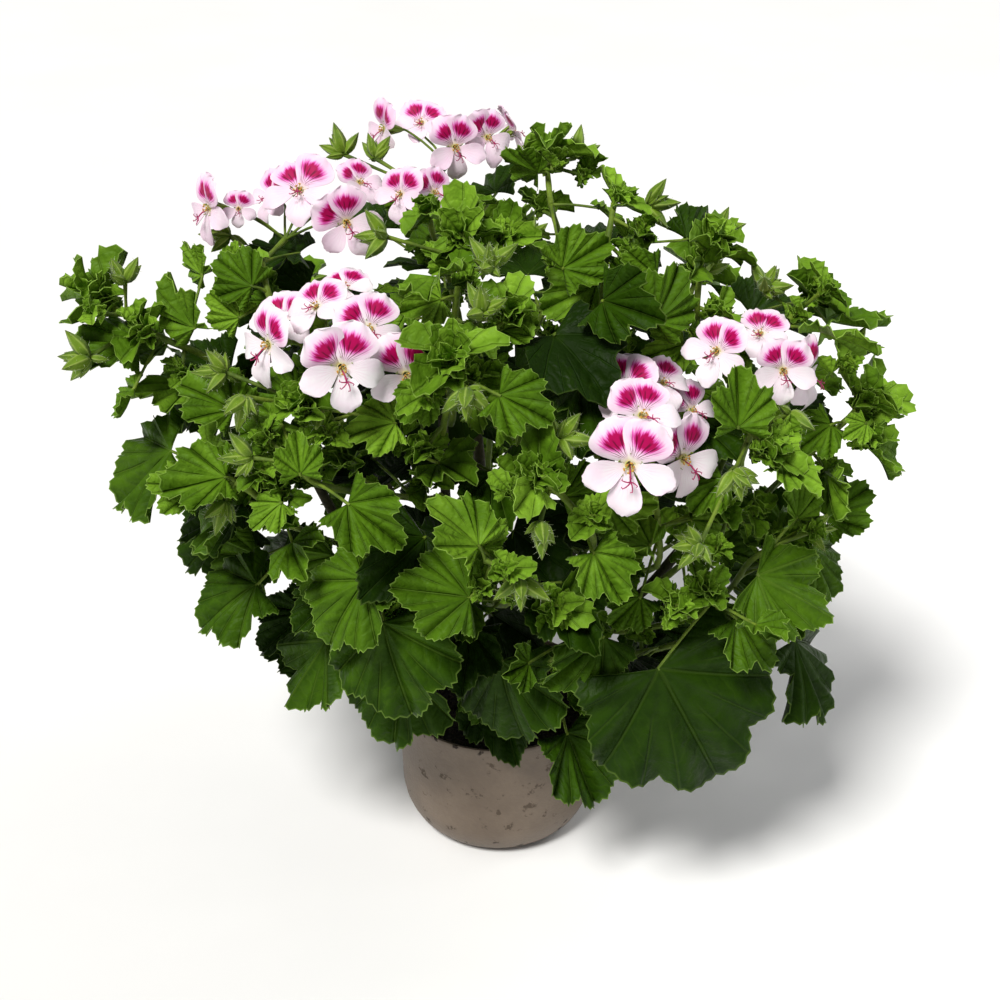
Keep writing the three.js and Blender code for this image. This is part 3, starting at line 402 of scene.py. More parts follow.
def pathPoint(points, t):  # a smooth curve through the points, t from 0 to 1
    last = len(points) - 1
    here = min(int(math.floor(last * t)), last - 1)
    share = last * t - here
    p1, p2 = points[here], points[here + 1]
    p0 = points[here - 1] if here > 0 else plus(plus(p1, p2, -1), p1)
    p3 = points[here + 2] if here + 2 <= last else plus(plus(p2, p1, -1), p2)
    s0, s1, s2 = (dot(plus(a, b, -1), plus(a, b, -1)) ** 0.25 for a, b in ((p0, p1), (p1, p2), (p2, p3)))
    out = []
    for x0, x1, x2, x3 in zip(p0, p1, p2, p3):
        t1 = ((x1 - x0) / s0 - (x2 - x0) / (s0 + s1) + (x2 - x1) / s1) * s1
        t2 = ((x2 - x1) / s1 - (x3 - x1) / (s1 + s2) + (x3 - x2) / s2) * s1
        c2 = -3 * x1 + 3 * x2 - 2 * t1 - t2
        c3 = 2 * x1 - 2 * x2 + t1 + t2
        out.append(x1 + t1 * share + c2 * share * share + c3 * share * share * share)
    return out


def pathPoints(points, count):
    return [pathPoint(points, i / count) for i in range(count + 1)]


# modelling helpers
def pick(*objects):
    bpy.ops.object.select_all(action="DESELECT")
    for obj in objects:
        obj.select_set(True)
    if objects:
        bpy.context.view_layer.objects.active = objects[0]


def addShape(name, kind, **settings):
    pick()
    getattr(bpy.ops.mesh, "primitive_%s_add" % kind)(**settings)
    obj = bpy.context.object
    obj.name = name
    return obj


def cornersOf(obj):
    flat = np.zeros(len(obj.data.vertices) * 3)
    obj.data.vertices.foreach_get("co", flat)
    return flat.reshape(-1, 3)


def moveCorners(obj, corners):
    obj.data.vertices.foreach_set("co", np.asarray(corners, float).ravel())
    obj.data.update()


def startEdit(obj):
    pick(obj)
    bpy.ops.object.mode_set(mode="EDIT")
    bpy.ops.mesh.select_all(action="SELECT")


def endEdit():
    bpy.ops.object.mode_set(mode="OBJECT")


def weld(obj, near=1e-5):
    startEdit(obj)
    bpy.ops.mesh.remove_doubles(threshold=near)
    bpy.ops.mesh.normals_make_consistent(inside=False)
    endEdit()


def thicken(obj, thickness, **settings):
    pick(obj)
    made = obj.modifiers.new("solidify", "SOLIDIFY")
    made.thickness = thickness
    made.offset = -1
    for key, value in settings.items():
        setattr(made, key, value)
    bpy.ops.object.modifier_apply(modifier=made.name)


def finishShape(obj, degrees, *materials):  # edges sharper than this angle stay sharp
    pick(obj)
    bpy.ops.object.shade_smooth_by_angle(angle=math.radians(degrees))
    obj.data.materials.clear()
    for material in materials:
        obj.data.materials.append(material)
    return obj


def gridPiece(name, columns, rows):  # a grid, with u and v from 0 to 1 for each of its corners
    obj = addShape(name, "grid", x_subdivisions=columns, y_subdivisions=rows, size=1)
    corners = cornersOf(obj)
    return obj, corners[:, 0] + 0.5, corners[:, 1] + 0.5


def funnelPiece(name, columns, rows, outline):  # a grid rolled up round Z, its radius and height from outline
    obj, u, v = gridPiece(name, columns, rows)
    radius, height = outline(u, v)
    radius, turn = np.where(v < 0.01, 0, radius), 2 * np.pi * u
    moveCorners(obj, np.column_stack([radius * np.cos(turn), radius * np.sin(turn), height]))
    weld(obj, 1e-4)
    return obj


# Copies, each with a mesh of its own, written straight into its place. Scale and origin are in millimetres.
def placeCopy(template, origin, across, along, normal, scale, age=None):
    obj = template.copy()
    obj.data = template.data.copy()
    bpy.context.scene.collection.objects.link(obj)
    corners = cornersOf(obj) * scale
    spot = np.array(origin) + corners @ np.array([across, along, normal])
    moveCorners(obj, spot * 0.001)
    if age is not None:
        ages = obj.data.attributes.new("age", "FLOAT", "POINT")
        ages.data.foreach_set("value", np.full(len(corners), age, dtype=np.float32))
    return obj


def pointCopy(template, foot, way, scale, side):  # a copy that points one way
    return placeCopy(template, foot, side, cross(way, side), way, scale)


def bendPiece(obj, origin, across, along, normal, length, amount, fold=0.0):
    corners = (cornersOf(obj) * 1000 - np.array(origin)) / length
    x, y, z = corners @ np.array(across), corners @ np.array(along), corners @ np.array(normal)
    twist, cup, wave, phase, tip = shade.uniform(-1, 1, 5)
    ripple = 0.35 * wave * np.sin(5 * x + 4 * y + 3 * phase) * y
    z = z + amount * (twist * x * y + 0.7 * cup * (x * x - 0.15) + ripple)
    z = z + amount * 0.5 * tip * np.clip(y - 0.5, 0, 1) ** 2 * 3
    z, x = z + np.abs(x) * math.sin(fold), x * math.cos(fold)
    spot = np.column_stack([x, y, z]) @ np.array([across, along, normal]) * length + np.array(origin)
    moveCorners(obj, spot * 0.001)


def joinPieces(pieces, name):
    pick(*pieces)
    if len(pieces) > 1:
        bpy.ops.object.join()
    obj = bpy.context.object
    obj.name = name
    obj.data.name = name
    return obj


finished = []


def handOver(obj, slot, *nodes):
    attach(obj, "root")
    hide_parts(*nodes)
    finished.append(obj)


# Tubes along lines of points, a radius for each point: stems, stalks, filaments and styles.
def makeTubes(name, lines, material, sides=2, scale=0.001):
    pick()
    bpy.ops.curve.primitive_nurbs_path_add(radius=1)
    obj = bpy.context.object
    obj.name = name
    obj.data.splines.clear()
    obj.data.dimensions = "3D"
    obj.data.bevel_depth = 1
    obj.data.bevel_resolution = sides
    obj.data.use_fill_caps = True
    for points, radii in lines:
        spline = obj.data.splines.new("POLY")
        spline.points.add(len(points) - 1)
        for entry, point, radius in zip(spline.points, points, radii):
            entry.co = (*[value * scale for value in point], 1)
            entry.radius = radius * scale
    bpy.ops.object.convert(target="MESH")
    return finishShape(bpy.context.object, 50, material)


# A fan-shaped leaf one unit long: a grid wrapped round the foot of the blade, pleated, toothed and thickened.
def makeLeaf(name, look, materials):
    aside = (look["lobes"] - 1) / 2
    obj, u, v = gridPiece(name, look["around"], look["rows"])
    share = u * 2 - 1
    lobe = share * aside
    fromRib = np.abs(lobe - np.round(lobe))
    reach = 1 - 0.45 * np.abs(share) ** 1.7 - look["notch"] * np.clip(fromRib * 2, 0, 1) ** 2.2
    column = np.rint(u * look["around"])
    tooth = np.where(column % 2 == 1, 1, -0.35) * (0.75 + 0.5 * np.sin(column * 2.3))
    out = v ** look["rowShift"]
    reach = reach * out + look["tooth"] * tooth * np.clip((out - 0.72) / 0.28, 0, 1) ** 1.5
    angle = np.radians(share * look["spread"])
    pleat = look["pleat"] * (np.sqrt(np.sin(np.pi * fromRib) ** 2 + 0.01) - 0.62) * out ** 0.9
    ripple = -look["ripple"] * np.cos(2 * np.pi * lobe * look["ripples"]) * out ** 1.7
    height = pleat + ripple - look["droop"] * reach ** 2
    moveCorners(obj, np.column_stack([look["wide"] * reach * np.sin(angle), reach * np.cos(angle), height]))
    weld(obj, 1e-4)
    thicken(obj, look["thick"], material_offset=1, use_even_offset=False)
    return finishShape(obj, 70, *materials)


grownSkin = [leafTop, leafUnder]
youngSkin = [youngTop, youngUnder]
fiveLobes = dict(lobes=5, spread=108, ripples=3, droop=0.1, rowShift=0.9)
leafLooks = dict(
    giant=dict(fiveLobes, around=80, rows=6, wide=0.88, notch=0.13, tooth=0.024, pleat=0.05, ripple=0.045,
               ripples=2, droop=0.12, thick=0.009),
    big=dict(fiveLobes, around=80, rows=6, wide=0.83, notch=0.2, tooth=0.036, pleat=0.16, ripple=0.04,
             thick=0.009),
    small=dict(fiveLobes, around=56, rows=5, wide=0.85, notch=0.23, tooth=0.05, pleat=0.17, ripple=0.05,
               thick=0.014),
    old=dict(fiveLobes, around=36, rows=3, wide=0.84, notch=0.2, tooth=0.035, pleat=0.08, ripple=0.015,
             thick=0.014),
    tuft=dict(lobes=3, around=24, rows=3, spread=102, wide=0.92, notch=0.3, tooth=0.085, pleat=0.22,
              ripple=0.05, ripples=3, droop=0.06, thick=0.02, rowShift=0.85),
    young=dict(lobes=3, around=18, rows=2, spread=95, wide=0.84, notch=0.3, tooth=0.1, pleat=0.22,
               ripple=0.0, ripples=1, droop=0.0, thick=0.03, rowShift=0.8),
)
leafPatterns = {
    kind: makeLeaf(kind + "_leaf", look, grownSkin if look["lobes"] == 5 else youngSkin)
    for kind, look in leafLooks.items()
}

# A bud one unit long: a sphere drawn out to a point, with five ribs, and small hairs on a spiral up its side.
budLook = dict(sides=10, rings=7, fat=0.22, ribs=0.12, hairs=12, hairLength=0.2, hairFoot=0.165)


def makeBud():
    obj = addShape("bud", "uv_sphere", segments=budLook["sides"], ring_count=budLook["rings"], radius=0.5)
    corners = cornersOf(obj)
    t = corners[:, 2] + 0.5
    turn = np.arctan2(corners[:, 1], corners[:, 0])
    body = budLook["fat"] * np.sin(np.pi * np.clip(t, 0, 1) ** 0.72) ** 0.8 * (1 - 0.35 * t ** 3)
    body = body * (1 + budLook["ribs"] * np.cos(5 * turn))
    moveCorners(obj, np.column_stack([body * np.cos(turn), body * np.sin(turn), t]))
    pieces = [finishShape(obj, 80, sepals)]

    hair = addShape("hair", "cone", vertices=3, radius1=0.03, radius2=0, depth=1, location=(0, 0, 0))
    moveCorners(hair, cornersOf(hair) + np.array((0, 0, 0.5)))
    hair.data.materials.append(hairMaterial)
    for i in range(budLook["hairs"]):
        height = 0.25 + 0.65 * i / budLook["hairs"]
        side = [math.cos(2.4 * i), math.sin(2.4 * i), 0]
        way = unit(plus(side, [0, 0, 1], 0.6))
        made = pointCopy(hair, [0, 0, 0], way, budLook["hairLength"], square([0, 0, 1], way))
        foot = plus([0, 0, height], side, budLook["hairFoot"] * (1 - height ** 3))
        moveCorners(made, cornersOf(made) * 1000 + np.array(foot))
        pieces.append(made)
    bpy.data.objects.remove(hair)
    return joinPieces(pieces, "hairy_bud")


# A small pointed bract, as under a bunch of buds.
def makeBract():
    obj, u, v = gridPiece("bract", 2, 3)
    x = (u * 2 - 1) * 0.24 * np.sin(np.pi * (0.16 + 0.82 * v))
    moveCorners(obj, np.column_stack([x, v, 3.2 * x * x - 0.25 * v * v]))
    thicken(obj, 0.05, material_offset=1)
    return finishShape(obj, 70, youngTop, youngUnder)


# A calyx one unit long, with five pointed sepals.
def makeCalyx():
    def outline(u, v):
        point = np.abs((np.rint(u * 20) % 4) - 2) / 2  # 1 at a sepal's tip, 0 between two sepals
        grow = np.where(v > 0.55, (v - 0.55) / 0.45, 0)
        height = np.minimum(v, 0.55) + grow * 0.75 * point ** 0.8
        return 0.05 + 0.2 * np.sin(np.pi / 2 * np.clip(v * 1.3, 0, 1)) + 0.16 * grow * point, height

    obj = funnelPiece("calyx", 20, 5, outline)
    thicken(obj, 0.025)
    return finishShape(obj, 70, sepals)


# A petal one unit long. Wide is its greatest half width, cup how far its sides rise, wave the rim's ruffle.
def makePetal(name, look, materials):
    obj, u, v = gridPiece(name, look["columns"], look["rows"])
    x = u * 2 - 1
    width = look["wide"] * (0.14 + 0.86 * np.sin(np.pi / 2 * np.clip(v / look["widest"], 0, 1)) ** 1.15)
    beyond = (v - look["widest"]) / (1.04 - look["widest"])
    width = width * np.where(v > look["widest"], np.sqrt(np.clip(1 - beyond ** 2, 0.03, 1)), 1)
    y = v - 0.1 * np.abs(x) ** 2.5 * v ** 2 * look["round"] + 0.012 * np.sin(9 * x + 1) * v ** 3
    lift = 0.36 * v - 0.22 * v ** 2 + look["cup"] * (x * width) ** 2 - look["fold"] * v ** 5
    lift = lift + look["wave"] * np.sin(6.5 * x + 0.8) * v ** 2.5
    moveCorners(obj, np.column_stack([x * width, y, lift]))
    thicken(obj, 0.016, material_offset=1)
    return finishShape(obj, 70, *materials)


petalLooks = dict(
    upper=dict(columns=10, rows=9, wide=0.57, widest=0.66, round=0.8, cup=-0.25, wave=0.05, fold=0.12),
    lower=dict(columns=6, rows=8, wide=0.35, widest=0.68, round=0.7, cup=0.5, wave=0.012, fold=0.14),
)

# The inside of a flower one unit in radius: throat, filaments with anthers, and the style with its five tips.
heartLook = dict(filaments=6, spread=0.12, height=0.16, anther=0.042, styleReach=0.42, tip=0.15)


def makeHeart():
    obj = funnelPiece("throat", 10, 3, lambda u, v: (0.045 + 0.065 * v ** 1.6, -0.3 + 0.31 * v))
    thicken(obj, 0.02)
    pieces = [finishShape(obj, 70, throatMaterial)]
    filaments = []
    for i in range(heartLook["filaments"]):
        angle = 2 * math.pi * i / heartLook["filaments"] + 0.3
        c, s = math.cos(angle), math.sin(angle)
        spread = heartLook["spread"] * (0.6 + 0.4 * ((i * 3) % 5) / 4)
        top = [spread * c, spread * s - 0.03, heartLook["height"] * (0.7 + 0.3 * ((i * 2) % 3) / 2)]
        line = [[0.02 * c, 0.02 * s, -0.3], [top[0] * 0.45, top[1] * 0.45, 0], top]
        filaments.append((line, [0.012, 0.012, 0.008]))
        anther = addShape("anther", "uv_sphere", segments=6, ring_count=4, radius=1)
        shape = cornersOf(anther) * np.array((0.55, 1.0, 0.55)) * heartLook["anther"]
        moveCorners(anther, shape @ np.array([[c, s, 0], [-s, c, 0], [0, 0, 1]]) + np.array(top))
        pieces.append(finishShape(anther, 80, antherMaterial))
    pieces.append(makeTubes("filaments", filaments, throatMaterial, 1, scale=1))

    reach, tip = heartLook["styleReach"], heartLook["tip"]
    neck = [0.02, -0.62 * reach, 0.75 * reach]
    styles = [([[0, 0, -0.25], [0, -0.08, 0.1], [0.01, -0.34 * reach, 0.5 * reach], neck],
               [0.016, 0.016, 0.018, 0.02])]
    for i in range(5):
        angle = 2 * math.pi * i / 5 + 0.5
        side = [math.cos(angle), math.sin(angle) * 0.8 - 0.35, 0.35]
        curl = [side[1], -side[0], 0]
        points = [plus(plus(neck, side, tip * t), curl, tip * 0.5 * t * t) for t in (0, 0.35, 0.7, 1)]
        points.append(plus(plus(points[-1], curl, tip * 0.22), side, -tip * 0.12))
        styles.append((points, [0.016, 0.014, 0.013, 0.012, 0.01]))
    pieces.append(makeTubes("style", styles, styleMaterial, 1, scale=1))
    return joinPieces(pieces, "bloom_heart")


budPattern = makeBud()
bractPattern = makeBract()
calyxPattern = makeCalyx()
petalPatterns = dict(
    upper=makePetal("upper_petal", petalLooks["upper"], [petalUpper, petalBack]),
    lower=makePetal("lower_petal", petalLooks["lower"], [petalLower, petalLower]),
)
heartPattern = makeHeart()
print("leaf, bud and petal shapes modelled")

# sizes of the plant, in millimetres
potHeight = 94
potRimRadius = 66
potBaseRadius = 46
soilTop = 84
gap = 0.35
woodRadius = 3.4
thickBelow = 1.2
thinAbove = 0.85
shootRadius = 2.1
stalkRadius = 1
pedicelRadius = 0.75
budRadius = 2.3
woodSegments = 3
leafDroop = 0.1
roomBetween = 0.9
canopy = dict(middle=262, halfHeight=178, halfWidth=232, halfDepth=190)
fillLeaves = 54
goldenAngle = 137.508
nearestFill = 6
furthestFill = 95
budWays = dict(up=[0, 0, 1], down=[0, -0.25, -1], left=[-1, 0, 0.1], right=[1, 0, 0.1])

# what settles to a place tries these moves and turns, the first ones along the line of sight
viewer = [1.5, -875, 743]
slips = [0, 4, -4, 8, -8, 13, -13, 18, -18, 24, -24, 30, -30]
nudges = [[0, 0, 0], [5, 0, 0], [-5, 0, 0], [0, 0, 5], [0, 0, -5],
          [9, 0, 5], [-9, 0, 5], [9, 0, -5], [-9, 0, -5]]
turns = [0, 15, -15, 30, -30]

# woody branches from the crown, then the leafy shoots that grow from them and the heads of flowers
# leaves: foot of the blade, its tip, and a turn round the midrib; tufts: middle and reach
# buds: middle of the bunch, the way it points, and how many
# flowers: middle, turn to the side, tilt up, spin round the middle, and radius
branches = [
    [[-4, 0, 88], [-22, 4, 150], [-31, -5, 230], [-32, -20, 305]],
    [[4, 1, 88], [26, 5, 150], [50, -5, 225], [78, -12, 315]],
    [[5, -3, 88], [46, -15, 135], [92, -20, 185], [132, -18, 245]],
    [[-5, -3, 88], [-48, -15, 140], [-90, -15, 215], [-120, -15, 285]],
    [[0, 4, 88], [-4, 38, 150], [-12, 62, 235], [-14, 72, 315]],
    [[4, 4, 88], [40, 48, 145], [72, 78, 215], [92, 96, 270]],
    [[-4, 4, 88], [-44, 46, 150], [-80, 58, 235], [-96, 52, 300]],
]

shoots = [
    dict(
        name="left_far", branch=3, along=0.95,
        route=[[-148, -23, 334], [-180, -43, 362], [-201, -33, 372], [-220, -21, 377]],
        tufts=[[-226, -14, 377, 27]], buds=[[-210, -15, 388, "up", 2], [-220, -38, 347, "left", 5]],
        leaves=[
            [-199, -44, 363, -238, -34, 367], [-205, -44, 336, -220, -40, 319],
            [-166, -48, 375, -184, -42, 402], [-166, -14, 392, -179, -4, 407],
        ],
    ),
    dict(
        name="left_low", branch=3, along=0.7, route=[[-110, -55, 246], [-128, -107, 300], [-141, -107, 311]],
        tufts=[[-143, -109, 312, 24], [-121, -118, 299, 17]], buds=[[-147, -112, 302, "down", 2]],
        leaves=[
            [-183, -65, 307, -224, -57, 271], [-141, -85, 287, -176, -79, 252],
            [-146, -106, 313, -182, -110, 310], [-152, -98, 318, -155, -94, 345],
            [-114, -126, 309, -131, -134, 299], [-140, -73, 223, -182, -73, 197],
            [-139, -58, 233, -162, -54, 197],
        ],
    ),
    dict(
        name="left_mid", branch=0, along=0.75, route=[[-85, -80, 291], [-98, -119, 318], [-106, -124, 332]],
        tufts=[[-108, -125, 333, 20], [-125, -114, 322, 15]], buds=[[-130, -113, 329, "left", 2]],
        leaves=[
            [-103, -128, 327, -105, -120, 348], [-77, -146, 320, -49, -160, 303],
            [-63, -123, 231, -53, -139, 170], [-114, -104, 344, -139, -102, 339],
        ],
    ),
    dict(
        name="head_c_shoot", branch=0, along=0.95, route=[[-86, -63, 313], [-96, -89, 346]],
        tufts=[[-103, -107, 359, 22]],
        buds=[[-144, -90, 368, "left", 4], [-132, -103, 360, "down", 3], [-92, -123, 364, "down", 4]],
        leaves=[[-147, -60, 330, -176, -50, 346], [-53, -116, 351, -79, -124, 349]],
    ),
    dict(
        name="head_b_shoot", branch=6, along=0.95,
        route=[[-115, -4, 341], [-126, -33, 385], [-132, -14, 400]],
        tufts=[], buds=[[-155, -5, 412, "left", 4]],
        leaves=[[-135, -35, 394, -157, -25, 408], [-140, -55, 384, -158, -49, 397]],
    ),
    dict(
        name="centre_top", branch=0, along=1, route=[[-25, -40, 364], [-21, -50, 401], [-18, -29, 419]],
        tufts=[[-19, -21, 423, 26], [-39, -5, 425, 18], [2, -20, 418, 20]],
        buds=[[-4, -53, 413, "up", 4], [-56, -27, 420, "left", 4]],
        leaves=[[-22, -42, 411, -40, -42, 421], [-30, -53, 394, -51, -65, 393]],
    ),
    dict(
        name="head_a_shoot", branch=4, along=1, route=[[-27, 73, 347], [-39, 39, 399], [-41, 43, 422]],
        tufts=[], buds=[[-92, 78, 432, "up", 3], [-73, 74, 431, "up", 2]],
        leaves=[[-25, 34, 410, -4, 42, 422]],
    ),
    dict(
        name="top_right", branch=4, along=0.85, route=[[38, 63, 358], [32, 38, 409], [29, 55, 433]],
        tufts=[[27, 73, 438, 26], [53, 57, 431, 17]], buds=[[37, 71, 437, "up", 2]],
        leaves=[[24, 48, 431, 3, 56, 441], [36, -29, 402, 63, -19, 416]],
    ),
    dict(
        name="top_right_tall", branch=1, along=0.85, route=[[58, -35, 362], [60, -17, 397], [66, 12, 424]],
        tufts=[[67, 24, 430, 18], [74, -32, 410, 18]], buds=[[85, 15, 423, "right", 3]],
        leaves=[[88, -33, 399, 60, -41, 398], [55, -28, 392, 24, -36, 380]],
    ),
    dict(
        name="right_upper", branch=1, along=1, route=[[109, -35, 349], [110, -38, 384], [114, -24, 408]],
        tufts=[[117, -7, 409, 25]], buds=[[126, 15, 407, "up", 2]],
        leaves=[[85, -63, 385, 101, -49, 412], [110, -65, 378, 87, -75, 374]],
    ),
    dict(
        name="right_far_upper", branch=2, along=1, route=[[145, -35, 324], [156, -46, 370], [175, -17, 378]],
        tufts=[[180, -11, 382, 21]], buds=[[148, -31, 391, "up", 5]],
        leaves=[[185, -29, 370, 222, -23, 368], [151, -48, 364, 136, -38, 381]],
    ),
    dict(
        name="right_far", branch=2, along=0.85, route=[[173, -31, 276], [195, -44, 311], [209, -35, 321]],
        tufts=[[213, -30, 324, 27], [198, -34, 346, 17]], buds=[[200, -31, 352, "up", 2]],
        leaves=[
            [208, -38, 301, 240, -32, 278], [190, -48, 315, 169, -58, 304], [214, -31, 307, 201, -39, 303],
        ],
    ),
    dict(
        name="right_mid", branch=2, along=0.7, route=[[133, -55, 256], [132, -98, 322], [136, -102, 338]],
        tufts=[[139, -101, 339, 23], [123, -110, 273, 14]],
        buds=[[124, -127, 329, "down", 5], [109, -126, 283, "left", 5], [158, -86, 342, "down", 3]],
        leaves=[[128, -104, 342, 129, -92, 372], [122, -103, 311, 104, -111, 295]],
    ),
    dict(
        name="head_d_shoot", branch=1, along=0.6, route=[[89, -75, 231], [88, -102, 287]],
        tufts=[], buds=[],
        leaves=[
            [79, -121, 246, 63, -127, 229], [85, -103, 268, 57, -95, 280], [107, -97, 281, 124, -103, 259],
        ],
    ),
    dict(
        name="right_low", branch=2, along=0.5, route=[[127, -45, 186], [143, -78, 240], [155, -87, 257]],
        tufts=[[152, -94, 261, 26], [178, -63, 239, 17]],
        buds=[[171, -80, 265, "right", 4], [157, -92, 257, "down", 3]],
        leaves=[
            [170, -75, 269, 172, -65, 296], [194, -43, 252, 222, -33, 266], [173, -45, 243, 137, -33, 257],
            [189, -38, 228, 208, -38, 191], [149, -85, 237, 190, -89, 210, 180],
            [180, -56, 172, 210, -60, 117],
        ],
    ),
    dict(
        name="right_front_low", branch=2, along=0.35,
        route=[[116, -67, 179], [128, -102, 223], [113, -117, 244]],
        tufts=[[109, -122, 250, 21]], buds=[],
        leaves=[[135, -105, 221, 160, -117, 197], [98, -106, 187, 140, -118, 108]],
    ),
    dict(
        name="front_centre_right", branch=1, along=0.45,
        route=[[58, -86, 248], [36, -137, 317], [22, -149, 336]],
        tufts=[[16, -152, 341, 25], [8, -157, 333, 14]],
        buds=[[22, -159, 317, "down", 3], [32, -140, 355, "right", 4], [13, -137, 361, "left", 2]],
        leaves=[[33, -146, 324, 49, -136, 339], [50, -150, 293, 67, -164, 271]],
    ),
    dict(
        name="front_centre", branch=0, along=0.46, route=[[7, -85, 213], [2, -142, 278], [-6, -150, 288]],
        tufts=[[-9, -152, 282, 18], [32, -141, 255, 20]], buds=[[12, -155, 280, "down", 5]],
        leaves=[
            [-15, -143, 260, -55, -149, 271], [-9, -154, 299, -33, -146, 324],
            [-8, -157, 300, -7, -151, 323],
        ],
    ),
    dict(
        name="centre", branch=0, along=0.85, route=[[-31, -83, 324], [-24, -113, 366], [-22, -112, 384]],
        tufts=[[-22, -105, 389, 26], [7, -75, 397, 20]],
        buds=[[-15, -130, 378, "down", 4], [-8, -84, 399, "up", 4]],
        leaves=[
            [0, -125, 355, 21, -121, 359], [-35, -116, 370, -51, -124, 357], [2, -80, 388, 23, -76, 391],
        ],
    ),
    dict(
        name="low_left", branch=3, along=0.35, route=[[-57, -78, 216], [-59, -100, 249]],
        tufts=[], buds=[],
        leaves=[
            [-55, -86, 178, -67, -94, 119], [-102, -72, 183, -122, -76, 137, 180],
            [-73, -113, 252, -101, -121, 214], [-92, -96, 257, -107, -100, 222],
        ],
    ),
    dict(
        name="low_right", branch=2, along=0.2, route=[[37, -75, 178], [43, -96, 200]],
        tufts=[], buds=[],
        leaves=[
            [59, -126, 223, 27, -140, 195], [42, -87, 125, 65, -99, 78], [2, -98, 186, 8, -104, 124],
            [-8, -66, 141, -12, -70, 116],
        ],
    ),
    dict(
        name="back_left", branch=6, along=0.55, route=[[-96, 95, 228], [-128, 132, 268], [-138, 146, 312]],
        tufts=[[-140, 150, 320, 26], [-150, 120, 290, 20]], buds=[[-128, 158, 318, "up", 4]],
        leaves=[],
    ),
    dict(
        name="back_middle", branch=4, along=0.5, route=[[-6, 112, 226], [4, 150, 290], [8, 158, 350]],
        tufts=[[8, 162, 358, 27], [-24, 152, 350, 20]],
        buds=[[22, 168, 350, "up", 4], [-10, 172, 330, "down", 3]],
        leaves=[],
    ),
    dict(
        name="back_right", branch=5, along=1, route=[[118, 118, 300], [130, 128, 330]],
        tufts=[[134, 130, 336, 25], [112, 146, 312, 20]], buds=[[140, 118, 340, "up", 4]],
        leaves=[],
    ),
]

heads = [
    dict(
        name="a", shoot="head_a_shoot", centre=[-31, 89, 422],
        flowers=[
            [-69, 97, 442, -65, 10, 0, 19], [-47, 112, 441, -25, 55, 0, 18], [-25, 70, 439, -8, 18, 0, 20],
            [-6, 89, 439, 50, 25, 0, 18], [9, 116, 435, 95, 20, 0, 17],
        ],
    ),
    dict(
        name="a2", shoot="head_a_shoot", centre=[-45, 34, 410],
        flowers=[[-55, 19, 428, -25, 35, 0, 17], [-36, 25, 427, 20, 35, 0, 16]],
    ),
    dict(
        name="b", shoot="head_b_shoot", centre=[-123, 21, 400],
        flowers=[
            [-164, 13, 422, -55, 15, 10, 21], [-147, 12, 422, 5, 25, 0, 11], [-114, 29, 427, -5, 55, 0, 23],
            [-131, 33, 422, -45, 40, 0, 17], [-83, -18, 425, 8, 12, 25, 21], [-81, 51, 424, 45, 45, 0, 16],
        ],
    ),
    dict(
        name="c", shoot="head_c_shoot", centre=[-90, -87, 367],
        flowers=[
            [-121, -85, 382, -45, 12, 0, 23], [-115, -66, 387, -20, 48, 0, 19],
            [-98, -54, 390, 0, 58, 0, 19], [-68, -81, 389, 8, 42, 0, 21], [-79, -122, 386, -12, 15, 0, 24],
            [-55, -123, 387, 20, 10, 0, 23], [-84, -32, 392, 5, 72, 0, 17],
        ],
    ),
    dict(
        name="d", shoot="head_d_shoot", centre=[82, -104, 330],
        flowers=[
            [67, -154, 347, -5, 15, 0, 26], [75, -121, 353, 2, 52, 0, 22], [96, -136, 341, 40, 12, 0, 24],
            [67, -98, 363, -35, 50, 0, 21], [90, -76, 355, 25, 62, 0, 17], [99, -95, 348, 62, 40, 0, 17],
        ],
    ),
    dict(
        name="e", shoot="right_far_upper", centre=[154, -46, 336],
        flowers=[
            [117, -81, 376, -35, 42, 0, 20], [146, -43, 369, 5, 62, 0, 18], [155, -73, 361, -12, 22, 0, 19],
            [169, -67, 356, 32, 15, 0, 22],
        ],
    ),
]


drawSeed = [20]


def draw(low, high):  # the same draws every time
    drawSeed[0] = (drawSeed[0] * 1664525 + 1013904223) % 4294967296
    return low + (high - low) * drawSeed[0] / 4294967296


def nearestOf(points, place):
    return min(points, key=lambda point: distance(point, place))


def outward(point):
    return unit([point[0], point[1] - 8, 0])


# Room is kept with plain stand-ins: a disc for each blade or flower, a rod for each stretch of stem.
discTurns = [math.radians(i * 11.25) for i in range(32)]
discFar = np.array([1.0 if i % 2 or i % 4 else 0.6 for i in range(32)])
discCos = discFar * np.array([math.cos(turn) for turn in discTurns])
discSin = discFar * np.array([math.sin(turn) for turn in discTurns])


def disc(node, centre, normal, radius, half, tuft=None):
    across = sideOf(normal)
    c = np.array(centre)
    edge = c + np.outer(radius * discCos, across) + np.outer(radius * discSin, cross(normal, across))
    return dict(node=node, centre=c, normal=np.array(normal), radius=radius, half=half, tuft=tuft,
                points=np.vstack([c, edge]), reach=radius + half)


def rod(node, start, end, half):
    length = distance(start, end)
    count = max(2, math.ceil(length / 4))
    a, b = np.array(start), np.array(end)
    points = a + (b - a) * (np.arange(count + 1) / count)[:, None]
    return dict(node=node, start=a, end=b, normal=None, half=half, tuft=None, points=points,
                centre=a + (b - a) * 0.5, reach=length / 2 + half)


def rodsAlong(node, points, half):
    return [rod(node, a, b, half) for a, b in zip(points, points[1:])]


def distancesTo(points, shape):
    if shape["normal"] is not None:
        off = points - shape["centre"]
        height = off @ shape["normal"]
        aside = np.sqrt(np.maximum(0, (off * off).sum(1) - height * height)) - shape["radius"]
        return np.where(aside <= 0, np.abs(height), np.sqrt(height * height + aside * aside))
    line = shape["end"] - shape["start"]
    share = np.clip(((points - shape["start"]) @ line) / (line @ line), 0, 1)
    return np.linalg.norm(points - (shape["start"] + share[:, None] * line), axis=1)


